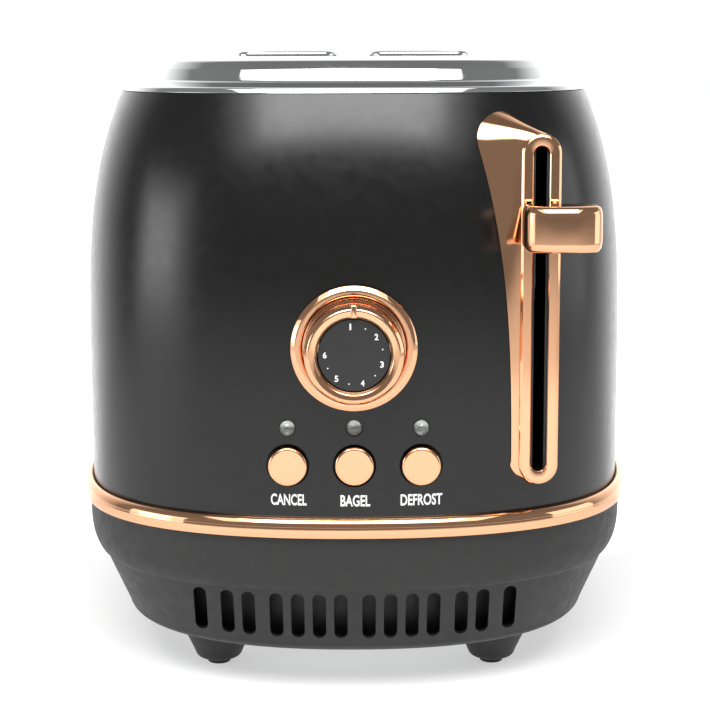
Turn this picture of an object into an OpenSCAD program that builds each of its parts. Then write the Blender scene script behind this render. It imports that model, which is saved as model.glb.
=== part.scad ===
// Two-slice pop-up toaster, built as it comes apart on a bench.
// Frame: +Z up, origin on the table under the middle of the toaster,
// +X to the right of somebody facing the control end, which faces -Y.

/* [Overall] */
// Width over the trim band
overall_w = 196; // [190:1:200]
// Length over the trim band
overall_l = 300; // [294:1:306]
// Squareness of the plan across the width (2 is an ellipse)
plan_p = 2.2; // [2.1:0.1:2.4]
// Squareness of the plan along the length
plan_q = 4.8; // [4.4:0.1:5.2]

/* [Heights] */
// Underside of the base above the table
base_z = 12; // [11:0.5:13]
// Top of the base, under the trim band
base_top_z = 56.5; // [56:0.5:57]
// Top edge of the painted body
body_top_z = 197.5; // [196:0.5:199]
// Top of the bread slot collars
collar_top_z = 210.6; // [210.4:0.1:211.5]

/* [Body] */
// How far the body stands inside the trim band
body_inset_low = 3.1; // [3:0.1:3.4]
// How far the shoulder draws in at the top
shoulder_inset = 12.8; // [12:0.2:13.4]
// Height at which the shoulder starts
shoulder_z = 90; // [80:1:100]
// Sheet thickness of the painted body
body_wall = 1.2; // [0.8:0.1:1.3]

/* [Base] */
// Wall of the moulded base
base_wall = 2.4; // [2:0.1:2.6]
// Height of the crease above the vented drum
crease_z = 39; // [38.6:0.1:39.4]
// Vent slot width
vent_w = 4.4; // [3.6:0.2:4.8]
// Vent pitch inside a group
vent_pitch = 7.05; // [6.8:0.05:7.2]

/* [Bread slots] */
// Centre of each bread slot from the middle
slot_x = 23; // [22.8:0.1:23.2]
// Clear width of a bread slot
slot_w = 30.2; // [28:0.2:30.6]
// Clear length of a bread slot
slot_l = 148; // [140:1:150]

/* [Controls] */
// Height of the browning dial
dial_z = 118.5; // [116:0.5:120]
// Radius of the fixed dial flange
flange_r = 20.05; // [19:0.05:20.5]
// Radius of the turning dial ring
ring_r = 15.6; // [15:0.1:15.7]
// Height of the indicator lights
led_z = 92.6; // [92:0.1:93.5]
// Height of the push buttons
button_z = 80.4; // [79:0.1:81]
// Spacing of buttons and lights
button_pitch = 21.3; // [20:0.1:22]
// Radius of a button
button_r = 6.25; // [5.5:0.05:6.4]

/* [Lever] */
// Centre line of the lever slot
lever_x = 59.3; // [59:0.1:60]
// Lower and upper end of the lever plate
plate_z0 = 72.3; // [71:0.1:74]
plate_z1 = 185; // [184:0.1:186]
// Half width of the lever plate
plate_half = 6.3; // [6:0.1:6.5]
// Half width of the slot that the lever runs in
slot_half = 2.5; // [2.3:0.1:2.6]
// Height of the lever knob at rest
knob_z = 156.5; // [155:0.5:158]

/* [Hidden] */

$fn = 48;
outline_n = 72;

copper = "#c58a68";
satin_black = "#232325";
moulded_black = "#3c3c3b";
chrome = "#d8dadc";
steel = "#a9abad";
mica = "#c9b48a";

// ---------- plan outline and lofted shells ----------

function signed_pow(v, e) = v < 0 ? -pow(-v, e) : pow(v, e);

// Rounded plan outline, drawn in by inset all round
function outline(inset) =
    [for (i = [0 : outline_n - 1])
        let (t = 360 * i / outline_n)
        [(overall_w / 2 - inset) * signed_pow(cos(t), 2 / plan_p),
         (overall_l / 2 - inset) * signed_pow(sin(t), 2 / plan_q)]];

// Distance from the middle to the end face at x, for an outline drawn in by inset
function end_face_y(x, inset) =
    (overall_l / 2 - inset)
    * pow(1 - pow(abs(x) / (overall_w / 2 - inset), plan_p), 1 / plan_q);

// Side triangles between two rings of n points, lower ring first
function band_faces(low, high, n) =
    [for (i = [0 : n - 1])
        let (j = (i + 1) % n)
        each [[low * n + i, high * n + i, high * n + j],
              [low * n + i, high * n + j, low * n + j]]];

// Solid through rings of [z, inset], lowest first
module loft(rings) {
    n = outline_n;
    m = len(rings);
    points = [for (r = rings) for (p = outline(r[1])) [p[0], p[1], r[0]]];
    floor_face = [[for (i = [0 : n - 1]) i]];
    roof_face = [[for (i = [n - 1 : -1 : 0]) (m - 1) * n + i]];
    sides = [for (k = [0 : m - 2]) each band_faces(k, k + 1, n)];
    polyhedron(points, concat(floor_face, roof_face, sides));
}

// Closed wall: a loop of [z, inset] points, outer face upwards, carried round the plan
module wall_loop(profile) {
    n = outline_n;
    m = len(profile);
    points = [for (r = profile) for (p = outline(r[1])) [p[0], p[1], r[0]]];
    sides = [for (k = [0 : m - 1]) each band_faces(k, (k + 1) % m, n)];
    polyhedron(points, sides);
}

// Ruled skin through a closed series of equal point loops
module ring_of_loops(loops) {
    n = len(loops[0]);
    m = len(loops);
    points = [for (l = loops) each l];
    polyhedron(points, [for (k = [0 : m - 1]) each band_faces(k, (k + 1) % m, n)]);
}

function body_inset(z) =
    body_inset_low + shoulder_inset
    * pow(max(0, z - shoulder_z) / (body_top_z - shoulder_z), 3.8);

bulge_top_inset = 1.9;
bulge_drop = 2.8;
crease_inset = 5.9;
// Height of the small step at the crease
crease_step = 0.8;
drum_low_z = 18;
drum_low_inset = 14.2;
floor_inset = 30;

// Outer face of the base: bulge, crease, slanted drum, rounded lower edge
function base_bulge(z) =
    bulge_top_inset + bulge_drop * pow((base_top_z - z) / (base_top_z - crease_z), 4);
function base_drum(z) =
    crease_inset + (drum_low_inset - crease_inset)
    * (crease_z - crease_step - z) / (crease_z - crease_step - drum_low_z);
function base_round(a) =
    [base_z + (drum_low_z - base_z) * (1 - cos(a)),
     drum_low_inset + (floor_inset - drum_low_inset) * (1 - sin(a))];

base_outer = concat(
    [for (a = [0, 20, 42, 66]) base_round(a)],
    [for (z = [drum_low_z, 28, crease_z - crease_step]) [z, base_drum(z)]],
    [for (z = [crease_z, 42, 46, 51, base_top_z]) [z, base_bulge(z)]]);

// ---------- small shapes used in many places ----------

// The controls stand out in front, so the casing sits behind the middle of the overall length
casing_y = 6.2;
module placed() {
    translate([0, casing_y, 0]) children();
}

// Box between two corners
module block(low, high) {
    translate(low) cube(high - low);
}

// Rectangle with round corners, exact arcs
module round_rect(w, l, r) {
    square([w - 2 * r, l], center = true);
    square([w, l - 2 * r], center = true);
    for (x = [-1, 1], y = [-1, 1])
        translate([x * (w / 2 - r), y * (l / 2 - r)]) circle(r);
}

// Turned piece about the Y axis; the 2D profile is (radius, distance towards the viewer)
module turned_y(x, y, z) {
    translate([x, y, z]) rotate([90, 0, 0]) rotate_extrude($fn = 64) children();
}

// Rod along Y from y0 to y1
module rod_y(x, z, r, y0, y1) {
    translate([x, y1, z]) rotate([90, 0, 0]) cylinder(h = y1 - y0, r = r);
}

module rod_z(x, y, r, z0, z1) {
    translate([x, y, z0]) cylinder(h = z1 - z0, r = r);
}

// ---------- base ----------

foot_x = 47.6;
foot_y = 99.5;
foot_pad_h = 1.9;
foot_pad_r = 4.3;
foot_plug_r = 3;
foot_plug_top = 9;
// Turned outline of the boss over each foot: radius, height
boss_outline = [[0, foot_pad_h], [5.4, foot_pad_h], [7.2, 2.8], [8.3, 4.6], [11.6, 14.8], [0, 14.8]];
boss_clear_r = 11.6;
plate_slot_w = 3;
plate_slot_l = 36;
step_inset = 36;
// Lip that the bottom plate is screwed under
lip_inset = 42;
lip_z = 13.2;
floor_top_z = 14.4;
plate_t = 1.1;
post_x = 58.5;
post_y = 52;
post_r = 4.5;
pan_z = 54;
pan_sheet = 1.2;
screw_r = 1.5;
screw_bore_r = 1.55;
screw_len = 11;
head_r = 2.9;
head_top_r = 2.2;
head_h = 1.85;

vent_z0 = 20;
vent_z1 = 36.9;
vent_gap = 9.2;
// Groups of one, two and four vents each side of the middle
vent_inner = vent_gap / 2;
vent_outer = vent_inner + 3 * vent_pitch + vent_gap;
vent_x = concat(
    [for (k = [0 : 3]) vent_inner + k * vent_pitch],
    [for (k = [0 : 1]) vent_outer + k * vent_pitch],
    [vent_outer + vent_pitch + vent_gap]);

tray_half_w = 47;
tray_z0 = 42;
tray_z1 = 50;
tray_y0 = -80;
tray_y1 = 136;
tray_sheet = 0.8;
door_half_w = 52;
door_z0 = 41;
door_z1 = 53;
door_gap = 0.4;
door_cut_y0 = 125;
door_cut_y1 = 160;
// Clearance between pieces that are pushed together
fit = 0.05;

gland_x = -64;
gland_z = 29;
gland_angle = 41.1;
gland_r = 5.4;
gland_y = end_face_y(gland_x, base_drum(gland_z));
drum_slope = atan((drum_low_inset - crease_inset) / (crease_z - crease_step - drum_low_z));

// Frame square to the drum where the mains lead leaves, +Z inwards
module at_gland() {
    translate([gland_x, gland_y, gland_z]) rotate([90 - drum_slope, 0, gland_angle]) children();
}

module vent(x, y) {
    translate([x, y, (vent_z0 + vent_z1) / 2]) rotate([90, 0, 0])
        linear_extrude(height = 60, center = true, $fn = 16) {
            square([vent_w, vent_z1 - vent_z0 - vent_w], center = true);
            for (s = [-1, 1])
                translate([0, s * (vent_z1 - vent_z0 - vent_w) / 2]) circle(vent_w / 2);
        }
}

module base_housing() placed() color(moulded_black) {
    difference() {
        union() {
            wall_loop(concat(
                [[base_z, step_inset]], base_outer,
                [[base_top_z, bulge_top_inset + base_wall]],
                [for (z = [44, crease_z]) [z, base_bulge(z) + base_wall]],
                [[crease_z - 2, crease_inset + base_wall + 0.6],
                 [drum_low_z, drum_low_inset + base_wall],
                 [floor_top_z, floor_inset], [floor_top_z, lip_inset],
                 [lip_z, lip_inset], [lip_z, step_inset]]));
            for (x = [-1, 1], y = [-1, 1]) {
                translate([x * foot_x, y * foot_y, 0]) rotate_extrude() polygon(boss_outline);
                rod_z(x * post_x, y * post_y, post_r, floor_top_z - 0.6, pan_z);
            }
        }
        for (x = vent_x, s = [-1, 1], y = [-130, 130]) vent(s * x, y);
        for (x = [-1, 1], y = [-1, 1]) {
            rod_z(x * foot_x, y * foot_y, foot_plug_r + fit, 0, foot_plug_top + 0.2);
            rod_z(x * post_x, y * post_y, screw_bore_r, base_z, base_z + screw_len + 3);
            rod_z(x * post_x, y * post_y, screw_bore_r, pan_z - screw_len - 1, pan_z + 1);
        }
        block([-door_half_w, door_cut_y0, door_z0], [door_half_w, door_cut_y1, door_z1]);
        at_gland() cylinder(h = 24, r = gland_r + fit, center = true);
    }
}

module bottom_plate() placed() color(steel)
    difference() {
        translate([0, 0, base_z])
            linear_extrude(height = plate_t) polygon(outline(step_inset + 0.3));
        for (x = [-1, 1], y = [-1, 1]) {
            rod_z(x * foot_x, y * foot_y, boss_clear_r, 0, 20);
            rod_z(x * post_x, y * post_y, screw_bore_r, 0, 20);
        }
        for (x = [-40 : 10 : 40], y = [-60, 0, 60])
            block([x - plate_slot_w / 2, y - plate_slot_l / 2, 0],
                  [x + plate_slot_w / 2, y + plate_slot_l / 2, 20]);
    }

module foot(sx, sy) placed() color("#1a1a1a")
    translate([sx * foot_x, sy * foot_y, 0]) {
        cylinder(h = foot_pad_h - fit, r1 = foot_pad_r - 0.3, r2 = foot_pad_r);
        cylinder(h = foot_plug_top, r = foot_plug_r);
    }
module foot_front_left() foot(-1, -1);
module foot_front_right() foot(1, -1);
module foot_rear_left() foot(-1, 1);
module foot_rear_right() foot(1, 1);

// Pan-head screws: four into the posts from below, four through the chassis pan
module base_screws() placed() color(steel)
    for (x = [-1, 1], y = [-1, 1]) {
        translate([x * post_x, y * post_y, 0]) {
            translate([0, 0, base_z - head_h - fit]) cylinder(h = head_h, r1 = head_top_r, r2 = head_r);
            translate([0, 0, base_z - 0.6]) cylinder(h = screw_len, r = screw_r);
            translate([0, 0, pan_z + pan_sheet + fit]) cylinder(h = head_h, r1 = head_r, r2 = head_top_r);
            translate([0, 0, pan_z + pan_sheet + 0.4 - screw_len]) cylinder(h = screw_len, r = screw_r);
        }
    }

// ---------- outer body ----------

body_z0 = base_top_z + 0.1;
body_heights = [body_z0, 98, 122, 140, 154, 166, 176, 184, 191, body_top_z];

ring_y = -163.5;
flange_back_y = -(overall_l / 2 - body_inset_low) - 0.1;
dial_hole_r = 18.6;
button_hole_r = button_r + 0.7;
led_r = 2.45;
led_hole_r = led_r + 0.3;
lever_hole_half = 3.6;
// Cutters for the controls run between these distances in front of the middle
cut_front_y = -160;
cut_back_y = -130;

module body_shell() placed() color(satin_black)
    difference() {
        wall_loop(concat(
            [for (z = body_heights) [z, body_inset(z)]],
            [for (k = [len(body_heights) - 1 : -1 : 0])
                [body_heights[k], body_inset(body_heights[k]) + body_wall]]));
        rod_y(0, dial_z, dial_hole_r, cut_front_y, cut_back_y);
        for (k = [-1 : 1]) {
            rod_y(k * button_pitch, button_z, button_hole_r, cut_front_y, cut_back_y);
            rod_y(k * button_pitch, led_z, led_hole_r, cut_front_y, cut_back_y);
        }
        block([lever_x - lever_hole_half, -150, plate_z0 + 4],
              [lever_x + lever_hole_half, -115, plate_z1 - 4]);
    }

band_z0 = 56.6;
band_z1 = 63.5;
band_back = body_inset_low - 0.1;

module trim_band() placed() color(copper)
    wall_loop(concat(
        [[band_z0, band_back], [band_z0, 1.4], [band_z0 + 0.7, 0.3],
         [band_z0 + 1.6, 0], [band_z0 + 3.6, 0.1]],
        [for (a = [20, 45, 70])
            [band_z1 - 3.2 + 3.2 * sin(a), 0.2 + 2.6 * (1 - cos(a))]],
        [[band_z1, band_back]]));

cover_top_z = 209;
cover_sheet = 0.8;
cover_hole_gap = 0.6;
cover_outer = [[192, 18.4], [body_top_z + 0.05, 18.4], [body_top_z + 0.1, 16.4],
    [body_top_z + 1, 16.8], [200.6, 26.6], [201.6, 28], [204.8, 29.9],
    [206.9, 31.4], [208.3, 33.6], [cover_top_z, 36.6]];
cover_inner = [[191, 19.2], [197.4, 19.2], [199.7, 27.2], [201, 28.9],
    [204.4, 30.8], [206.3, 32.2], [207.5, 34.2], [cover_top_z - cover_sheet, 36.8]];
collar_lip = 2.2;
collar_wall = 1.2;
collar_low_z = 196;

module top_cover() placed() color(chrome)
    difference() {
        loft(cover_outer);
        loft(cover_inner);
        for (s = [-1, 1])
            translate([s * slot_x, 0, 200]) linear_extrude(height = 20)
                round_rect(slot_w + 2 * (collar_wall + cover_hole_gap),
                           slot_l + 2 * (collar_wall + cover_hole_gap), 4.5);
    }

// Drawn collar that lines a bread slot and stands up as its rim
module slot_collar(s) placed() color(chrome)
    translate([s * slot_x, 0, 0])
        difference() {
            union() {
                translate([0, 0, collar_low_z]) linear_extrude(height = 14)
                    round_rect(slot_w + 2 * collar_wall, slot_l + 2 * collar_wall, 4);
                translate([0, 0, cover_top_z + 0.05])
                    linear_extrude(height = collar_top_z - cover_top_z - 0.05)
                    round_rect(slot_w + 2 * collar_lip, slot_l + 2 * collar_lip, 5);
            }
            translate([0, 0, 190]) linear_extrude(height = 30)
                round_rect(slot_w, slot_l, 3);
        }
module slot_collar_left() slot_collar(-1);
module slot_collar_right() slot_collar(1);

// ---------- crumb tray ----------

module crumb_tray() placed() color(steel)
    difference() {
        block([-tray_half_w, tray_y0, tray_z0], [tray_half_w, tray_y1, tray_z1]);
        block([-tray_half_w + tray_sheet, tray_y0 + tray_sheet, tray_z0 + tray_sheet],
              [tray_half_w - tray_sheet, tray_y1 - tray_sheet, tray_z1 + 1]);
    }

// Half width of the lip that the tray is pulled by
lip_half_w = 20;

// Curved panel that closes the tray opening, with its lip
module tray_handle() placed() color(moulded_black) {
    intersection() {
        wall_loop([[40, base_bulge(40)], [44, base_bulge(44)], [54, base_bulge(54)],
                   [54, base_bulge(54) + 3], [40, base_bulge(54) + 3]]);
        block([-door_half_w + door_gap, 130, door_z0 + door_gap],
              [door_half_w - door_gap, 160, door_z1 - door_gap]);
    }
    block([-44, tray_y1 + fit, tray_z0 + 0.5], [44, 143.2, tray_z1 - 0.5]);
    block([-lip_half_w, 146, door_z0 + 1.4], [lip_half_w, 151.6, door_z0 + 3.4]);
}

rail_y0 = -82;
rail_y1 = 124;

// Angle rails that the tray slides on
module tray_rails() placed() color(steel)
    for (flip = [0, 1]) mirror([flip, 0, 0]) {
        block([44.5, rail_y0, tray_z0 - 1.6], [52.5, rail_y1, tray_z0 - 0.8]);
        block([51.1, rail_y0, tray_z0 - 0.8], [51.9, rail_y1, tray_z0 + 6]);
    }

// ---------- chassis and toasting chamber ----------

frame_y = 83;
frame_half_w = 50;
pan_open_x = 46;
pan_open_y = 79;
frame_z0 = pan_z + pan_sheet + 0.1;
frame_z1 = 194;
guard_low_z = 62;
// Spacing of the guard wires and of the rack teeth between them
wire_pitch = 12;
guard_high_z = 190;
guard_outer_x = slot_x + 16.5;
guard_inner_x = slot_x - 16.5;

module chassis_pan() placed() color(steel)
    difference() {
        block([-63, -120, pan_z], [63, 120, pan_z + pan_sheet]);
        block([-pan_open_x, -pan_open_y, 0], [pan_open_x, pan_open_y, 100]);
        for (x = [-1, 1], y = [-1, 1])
            rod_z(x * post_x, y * post_y, screw_bore_r, 0, 100);
        rod_z(rod_x, rod_yy, 2.05, 0, 100);
    }

// End plate of the chamber, slotted for the racks and the guard rails
module end_frame(s) placed() color(steel)
    difference() {
        union() {
            block([-frame_half_w, s > 0 ? frame_y : -frame_y - 1, frame_z0],
                  [frame_half_w, s > 0 ? frame_y + 1 : -frame_y, frame_z1]);
            for (x = [-41, 41])
                block([x - 7, s > 0 ? frame_y : -frame_y - 9, frame_z0],
                      [x + 7, s > 0 ? frame_y + 9 : -frame_y, frame_z0 + 1]);
        }
        for (x = [-slot_x, slot_x])
            block([x - 2.5, s * frame_y - 3, 59], [x + 2.5, s * frame_y + 3, 174]);
        for (m = [-1, 1], x = [guard_inner_x + 1.5, guard_outer_x - 1.5],
             z = [guard_low_z, guard_high_z])
            block([m * x - 4, s * frame_y - 3, z - 1.4], [m * x + 4, s * frame_y + 3, z + 1.4]);
    }
module front_frame() end_frame(-1);
module rear_frame() end_frame(1);

// Louvred side plate between the chamber and the painted body
module heat_shield(s) placed() color(steel)
    difference() {
        translate([s * (frame_half_w + 0.6), 0, 0])
            block([-0.4, -frame_y - 1, frame_z0], [0.4, frame_y + 1, frame_z1]);
        for (z = [70, 180], y = [-60 : 30 : 60])
            block([s * 50.6 - 3, y - 8, z - 2], [s * 50.6 + 3, y + 8, z + 2]);
    }
module heat_shield_left() heat_shield(-1);
module heat_shield_right() heat_shield(1);

card_x = 45.4;
card_half_l = 82.9;
card_t = 0.8;
card_z0 = 58;
card_z1 = 186;
ribbon_t = 0.3;
ribbon_w = 2.2;
ribbon_pitch = 11;
ribbon_rows = 10;
ribbon_half_l = 72;

module element_card(x) placed() color(mica)
    block([x - card_t / 2, -card_half_l, card_z0], [x + card_t / 2, card_half_l, card_z1]);
module element_card_left() element_card(-card_x);
module element_card_centre() element_card(0);
module element_card_right() element_card(card_x);

// One flat heating ribbon laid to and fro over a card face; x is its middle plane
module ribbon(x) placed() color("#8d8a86")
    for (k = [0 : ribbon_rows - 1]) {
        z = 70 + k * ribbon_pitch;
        side = k % 2 == 0 ? 1 : -1;
        block([x - ribbon_t / 2, -ribbon_half_l, z],
              [x + ribbon_t / 2, ribbon_half_l, z + ribbon_w]);
        if (k < ribbon_rows - 1)
            block([x - ribbon_t / 2, side * ribbon_half_l - ribbon_w / 2, z],
                  [x + ribbon_t / 2, side * ribbon_half_l + ribbon_w / 2,
                   z + ribbon_pitch + ribbon_w]);
    }
ribbon_off = card_t / 2 + ribbon_t / 2 + 0.02;
module heating_ribbon_left() ribbon(-card_x + ribbon_off);
module heating_ribbon_right() ribbon(card_x - ribbon_off);
module heating_ribbon_centre() {
    ribbon(-ribbon_off);
    ribbon(ribbon_off);
}

// Wire grid that leans in on the bread as the carriage goes down
module bread_guard(x) placed() color(chrome) {
    for (z = [guard_low_z, guard_high_z]) rod_y(x, z, 0.9, -frame_y - 3.5, frame_y + 3.5);
    for (y = [-72 : wire_pitch : 72]) rod_z(x, y, 0.8, guard_low_z, guard_high_z);
}
module bread_guard_left_outer() bread_guard(-guard_outer_x);
module bread_guard_left_inner() bread_guard(-guard_inner_x);
module bread_guard_right_inner() bread_guard(guard_inner_x);
module bread_guard_right_outer() bread_guard(guard_outer_x);

// ---------- carriage ----------

rod_x = 0;
rod_yy = -96;
rod_r = 3;
plate_y0 = -104.5;
plate_y1 = -103;
rack_z0 = 134;
rack_z1 = 139;

// Blade that carries the bread, with cross teeth between the guard wires
module bread_rack(s) placed() color(steel) {
    block([s * slot_x - 1, plate_y1 + 0.02, rack_z0], [s * slot_x + 1, 90, rack_z1]);
    block([s * slot_x - 6, plate_y1 + 0.02, rack_z0 - 6],
          [s * slot_x + 6, plate_y1 + 1.4, rack_z1]);
    for (y = [-66 : wire_pitch : 66])
        block([s * slot_x - 7.5, y - 1, rack_z1 - 1.5], [s * slot_x + 7.5, y + 1, rack_z1]);
}
module bread_rack_left() bread_rack(-1);
module bread_rack_right() bread_rack(1);

magnet_x = -31;
magnet_y = -118;
armature_z = 136.2;

module carriage_bracket() placed() color(steel)
    difference() {
        union() {
            block([-44, plate_y0, 128], [lever_x + 1.5, plate_y1, 150]);
            rod_z(rod_x, rod_yy, 7.6, 135, 143);
            block([11, plate_y1 - 0.5, 148.8], [17, -92.5, 150]);
            block([magnet_x - 7, magnet_y - 8, armature_z + 2.02],
                  [magnet_x + 7, plate_y0 + 0.5, armature_z + 3.2]);
        }
        rod_z(rod_x, rod_yy, 6.05, 100, 170);
    }

module carriage_bushing() placed() color("#d9d4c4")
    difference() {
        rod_z(rod_x, rod_yy, 6, 130, 152);
        rod_z(rod_x, rod_yy, rod_r + 0.08, 120, 160);
    }

module armature_plate() placed() color(steel)
    block([magnet_x - 10, magnet_y - 8, armature_z], [magnet_x + 10, magnet_y + 8, armature_z + 2]);

arm_half_t = 1.5;
arm_z0 = knob_z - 3.5;
arm_z1 = knob_z + 3.5;
arm_tip_y = -154;

module lever_arm() placed() color(steel) {
    block([lever_x - arm_half_t, arm_tip_y, arm_z0], [lever_x + arm_half_t, plate_y0 - 0.1, arm_z1]);
    block([lever_x - 12, plate_y0 - 1.7, 132], [lever_x + arm_half_t, plate_y0 - 0.1, arm_z1]);
}

knob_x = 64.6;
knob_half_l = 12.2;
knob_half_h = 7.2;
knob_front_y = -160.4;
knob_back_y = -145.4;

// Rounded oblong grip that stands out to the right of the slot
module lever_knob() placed() color(copper)
    difference() {
        hull()
            for (sx = [-1, 1], sz = [-1, 1], y = [knob_front_y + 5, knob_back_y - 5])
                translate([knob_x + sx * (knob_half_l - 5), y, knob_z + sz * (knob_half_h - 2.5)])
                    scale([1, 1, 0.5]) sphere(r = 5, $fn = 24);
        block([lever_x - arm_half_t - 0.1, arm_tip_y - 0.1, arm_z0 - 0.1],
              [lever_x + arm_half_t + 0.1, -140, arm_z1 + 0.1]);
    }

// ---------- lever escutcheon ----------

plate_front_y = -139;
arc_steps = 10;
side_steps = 9;
crest_x = 47.4;
crest_z = 183.4;
crest_r = 8.2;
// Gap between the foot of the plate and the body
foot_lift = 0.32;

// Stadium loop in x and z, right side upwards; the same point count as the crest loop
function stadium(half, z0, z1) = concat(
    [for (k = [0 : arc_steps])
        let (a = 180 + 180 * k / arc_steps)
        [lever_x + half * cos(a), z0 + half + half * sin(a)]],
    [for (k = [1 : side_steps])
        [lever_x + half, z0 + half + (z1 - z0 - 2 * half) * k / (side_steps + 1)]],
    [for (k = [0 : arc_steps])
        let (a = 180 * k / arc_steps)
        [lever_x + half * cos(a), z1 - half + half * sin(a)]],
    [for (k = [1 : side_steps])
        [lever_x - half, z1 - half - (z1 - z0 - 2 * half) * k / (side_steps + 1)]]);

// How far the left flank sweeps out from the plate at height z
function flank(z) = 2.4 + 11.9 * pow(max(0, z - plate_z0) / (crest_z - plate_z0), 2.9);

// Foot of the escutcheon on the body: the flank leans left towards a round crest
function foot_loop(shrink) =
    let (half = plate_half + 0.3 - shrink,
         low = plate_z0 + plate_half,
         left = function (z) lever_x - plate_half - flank(z) + shrink)
    concat(
        [for (k = [0 : arc_steps])
            let (a = 180 + 180 * k / arc_steps,
                 lean = flank(low) * (1 - k / arc_steps))
            [lever_x + half * cos(a) - lean, low + half * sin(a)]],
        [for (k = [1 : side_steps])
            [lever_x + half, low + (178 - low) * k / (side_steps + 1)]],
        [for (k = [0 : arc_steps])
            let (a = k == 0 ? 0 : 62 + 124 * (k - 1) / (arc_steps - 1))
            k == 0 ? [lever_x + half, 179.5]
                : [crest_x + (crest_r - shrink) * cos(a), crest_z + (crest_r - shrink) * sin(a)]],
        [for (k = [1 : side_steps])
            let (z = crest_z - 1 - (crest_z - 1 - low) * k / (side_steps + 1))
            [left(z), z]]);

function at_y(loop, y) = [for (p = loop) [p[0], y, p[1]]];
function on_body(loop, lift) =
    [for (p = loop) [p[0], -end_face_y(p[0], body_inset(p[1])) - lift, p[1]]];

module lever_escutcheon() placed() color(copper)
    ring_of_loops([
        on_body(foot_loop(0), foot_lift),
        at_y(stadium(plate_half, plate_z0, plate_z1), plate_front_y + 0.9),
        at_y(stadium(plate_half - 0.9, plate_z0 + 0.9, plate_z1 - 0.9), plate_front_y),
        at_y(stadium(slot_half, plate_z0 + 4.4, plate_z1 - 4), plate_front_y),
        at_y(stadium(slot_half, plate_z0 + 4.4, plate_z1 - 4), plate_front_y + 1.5),
        at_y(stadium(plate_half - 1.3, plate_z0 + 1.3, plate_z1 - 1.3), plate_front_y + 1.6),
        on_body(foot_loop(1.5), foot_lift)]);

// Two dark strips behind the slot that the lever arm runs between
module slot_seal() placed() color("#101010")
    for (s = [-1, 1])
        block([lever_x + (s > 0 ? arm_half_t + 0.3 : -3.4), -136.9, plate_z0 + 5],
              [lever_x + (s > 0 ? 3.4 : -arm_half_t - 0.3), -136.1, plate_z1 - 5]);

// ---------- guide, spring, magnet, contacts ----------

bracket_z = 190;
spring_x = 14;
spring_z0 = 150.2;
spring_z1 = 187.8;
spring_r = 3.4;
spring_wire = 0.55;
spring_turns = 13;
spring_steps = 12;
wire_sides = 6;

module guide_rod() placed() color(chrome) {
    rod_z(rod_x, rod_yy, rod_r, pan_z + pan_sheet + 0.05, bracket_z - 0.05);
    rod_z(rod_x, rod_yy, 2, pan_z - 1, bracket_z + 2);
}

module rod_bracket() placed() color(steel)
    difference() {
        union() {
            block([-10, -104, bracket_z], [20, -frame_y - 1.1, bracket_z + 1.2]);
            block([-10, -frame_y - 2.3, bracket_z - 12], [20, -frame_y - 1.1, bracket_z + 1.2]);
        }
        rod_z(rod_x, rod_yy, 2.05, 150, 200);
        for (x = [-guard_inner_x, guard_inner_x])
            block([x - 6.5, -90, guard_high_z - 1.6], [x + 6.5, -80, guard_high_z + 1.6]);
    }

// Helical wire as one swept skin
function helix_ring(k) =
    let (a = 360 * k / spring_steps,
         z = spring_z0 + spring_wire
             + (spring_z1 - spring_z0 - 2 * spring_wire) * k / (spring_turns * spring_steps))
    [for (j = [0 : wire_sides - 1])
        let (b = -360 * j / wire_sides, r = spring_r + spring_wire * cos(b))
        [spring_x + r * cos(a), rod_yy + r * sin(a), z + spring_wire * sin(b)]];

module lift_spring() placed() color(steel) {
    count = spring_turns * spring_steps;
    points = [for (k = [0 : count]) each helix_ring(k)];
    start = [[for (j = [0 : wire_sides - 1]) j]];
    finish = [[for (j = [wire_sides - 1 : -1 : 0]) count * wire_sides + j]];
    sides = [for (k = [0 : count - 1]) each band_faces(k, k + 1, wire_sides)];
    polyhedron(points, concat(start, finish, sides));
}

module magnet_core() placed() color(steel) {
    rod_z(magnet_x, magnet_y, 4, pan_z + pan_sheet + 0.05, 66);
    difference() {
        block([magnet_x - 13, magnet_y - 8, pan_z + pan_sheet + 0.05],
              [magnet_x + 13, magnet_y + 8, 65.9]);
        block([magnet_x - 11.4, magnet_y - 9, pan_z + pan_sheet + 1.6],
              [magnet_x + 11.4, magnet_y + 9, 70]);
    }
}

module magnet_coil() placed() color("#b5632f")
    difference() {
        rod_z(magnet_x, magnet_y, 8.6, 57.2, 65);
        rod_z(magnet_x, magnet_y, 4.05, 50, 70);
    }

// Contact block with two pairs of spring blades, closed by the lowered carriage
module switch_contacts() placed() color("#7a5a38") {
    block([38, -124, pan_z + pan_sheet + 0.05], [52, -112, 61]);
    for (x = [40, 43.5, 46.5, 50])
        block([x - 0.3, -121, 61], [x + 0.3, -115, 76]);
}

// ---------- control end ----------

carrier_y0 = -140;
carrier_y1 = -138.5;
board_y0 = -132;
board_y1 = -130.4;
stem_r = 3;
button_front_y = -148.6;
plunger_y = -135.4;
led_tip_y = -148.6;

module control_carrier() placed() color(moulded_black)
    difference() {
        union() {
            block([-33, carrier_y0, 70], [33, carrier_y1, 99]);
            for (x = [-31.5, 31.5], z = [71.5, 97.5])
                rod_y(x, z, 1.4, carrier_y1 - 0.2, board_y0 - 0.05);
        }
        for (k = [-1 : 1]) {
            rod_y(k * button_pitch, button_z, stem_r + 0.08, -150, -130);
            rod_y(k * button_pitch, led_z, led_r + 0.1, -150, -130);
        }
    }

module control_board() placed() color("#2f5d3a")
    difference() {
        union() {
            block([-37, board_y0, 68], [37, board_y1, 136]);
            block([8, board_y1 - 0.1, 104], [28, -117, 124]);
            rod_y(32, 84, 5, board_y1 - 0.1, -114);
            block([-16, board_y1 - 0.1, 78], [6, -120, 96]);
        }
        rod_y(0, dial_z, 1.55, -140, -125);
    }

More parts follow.
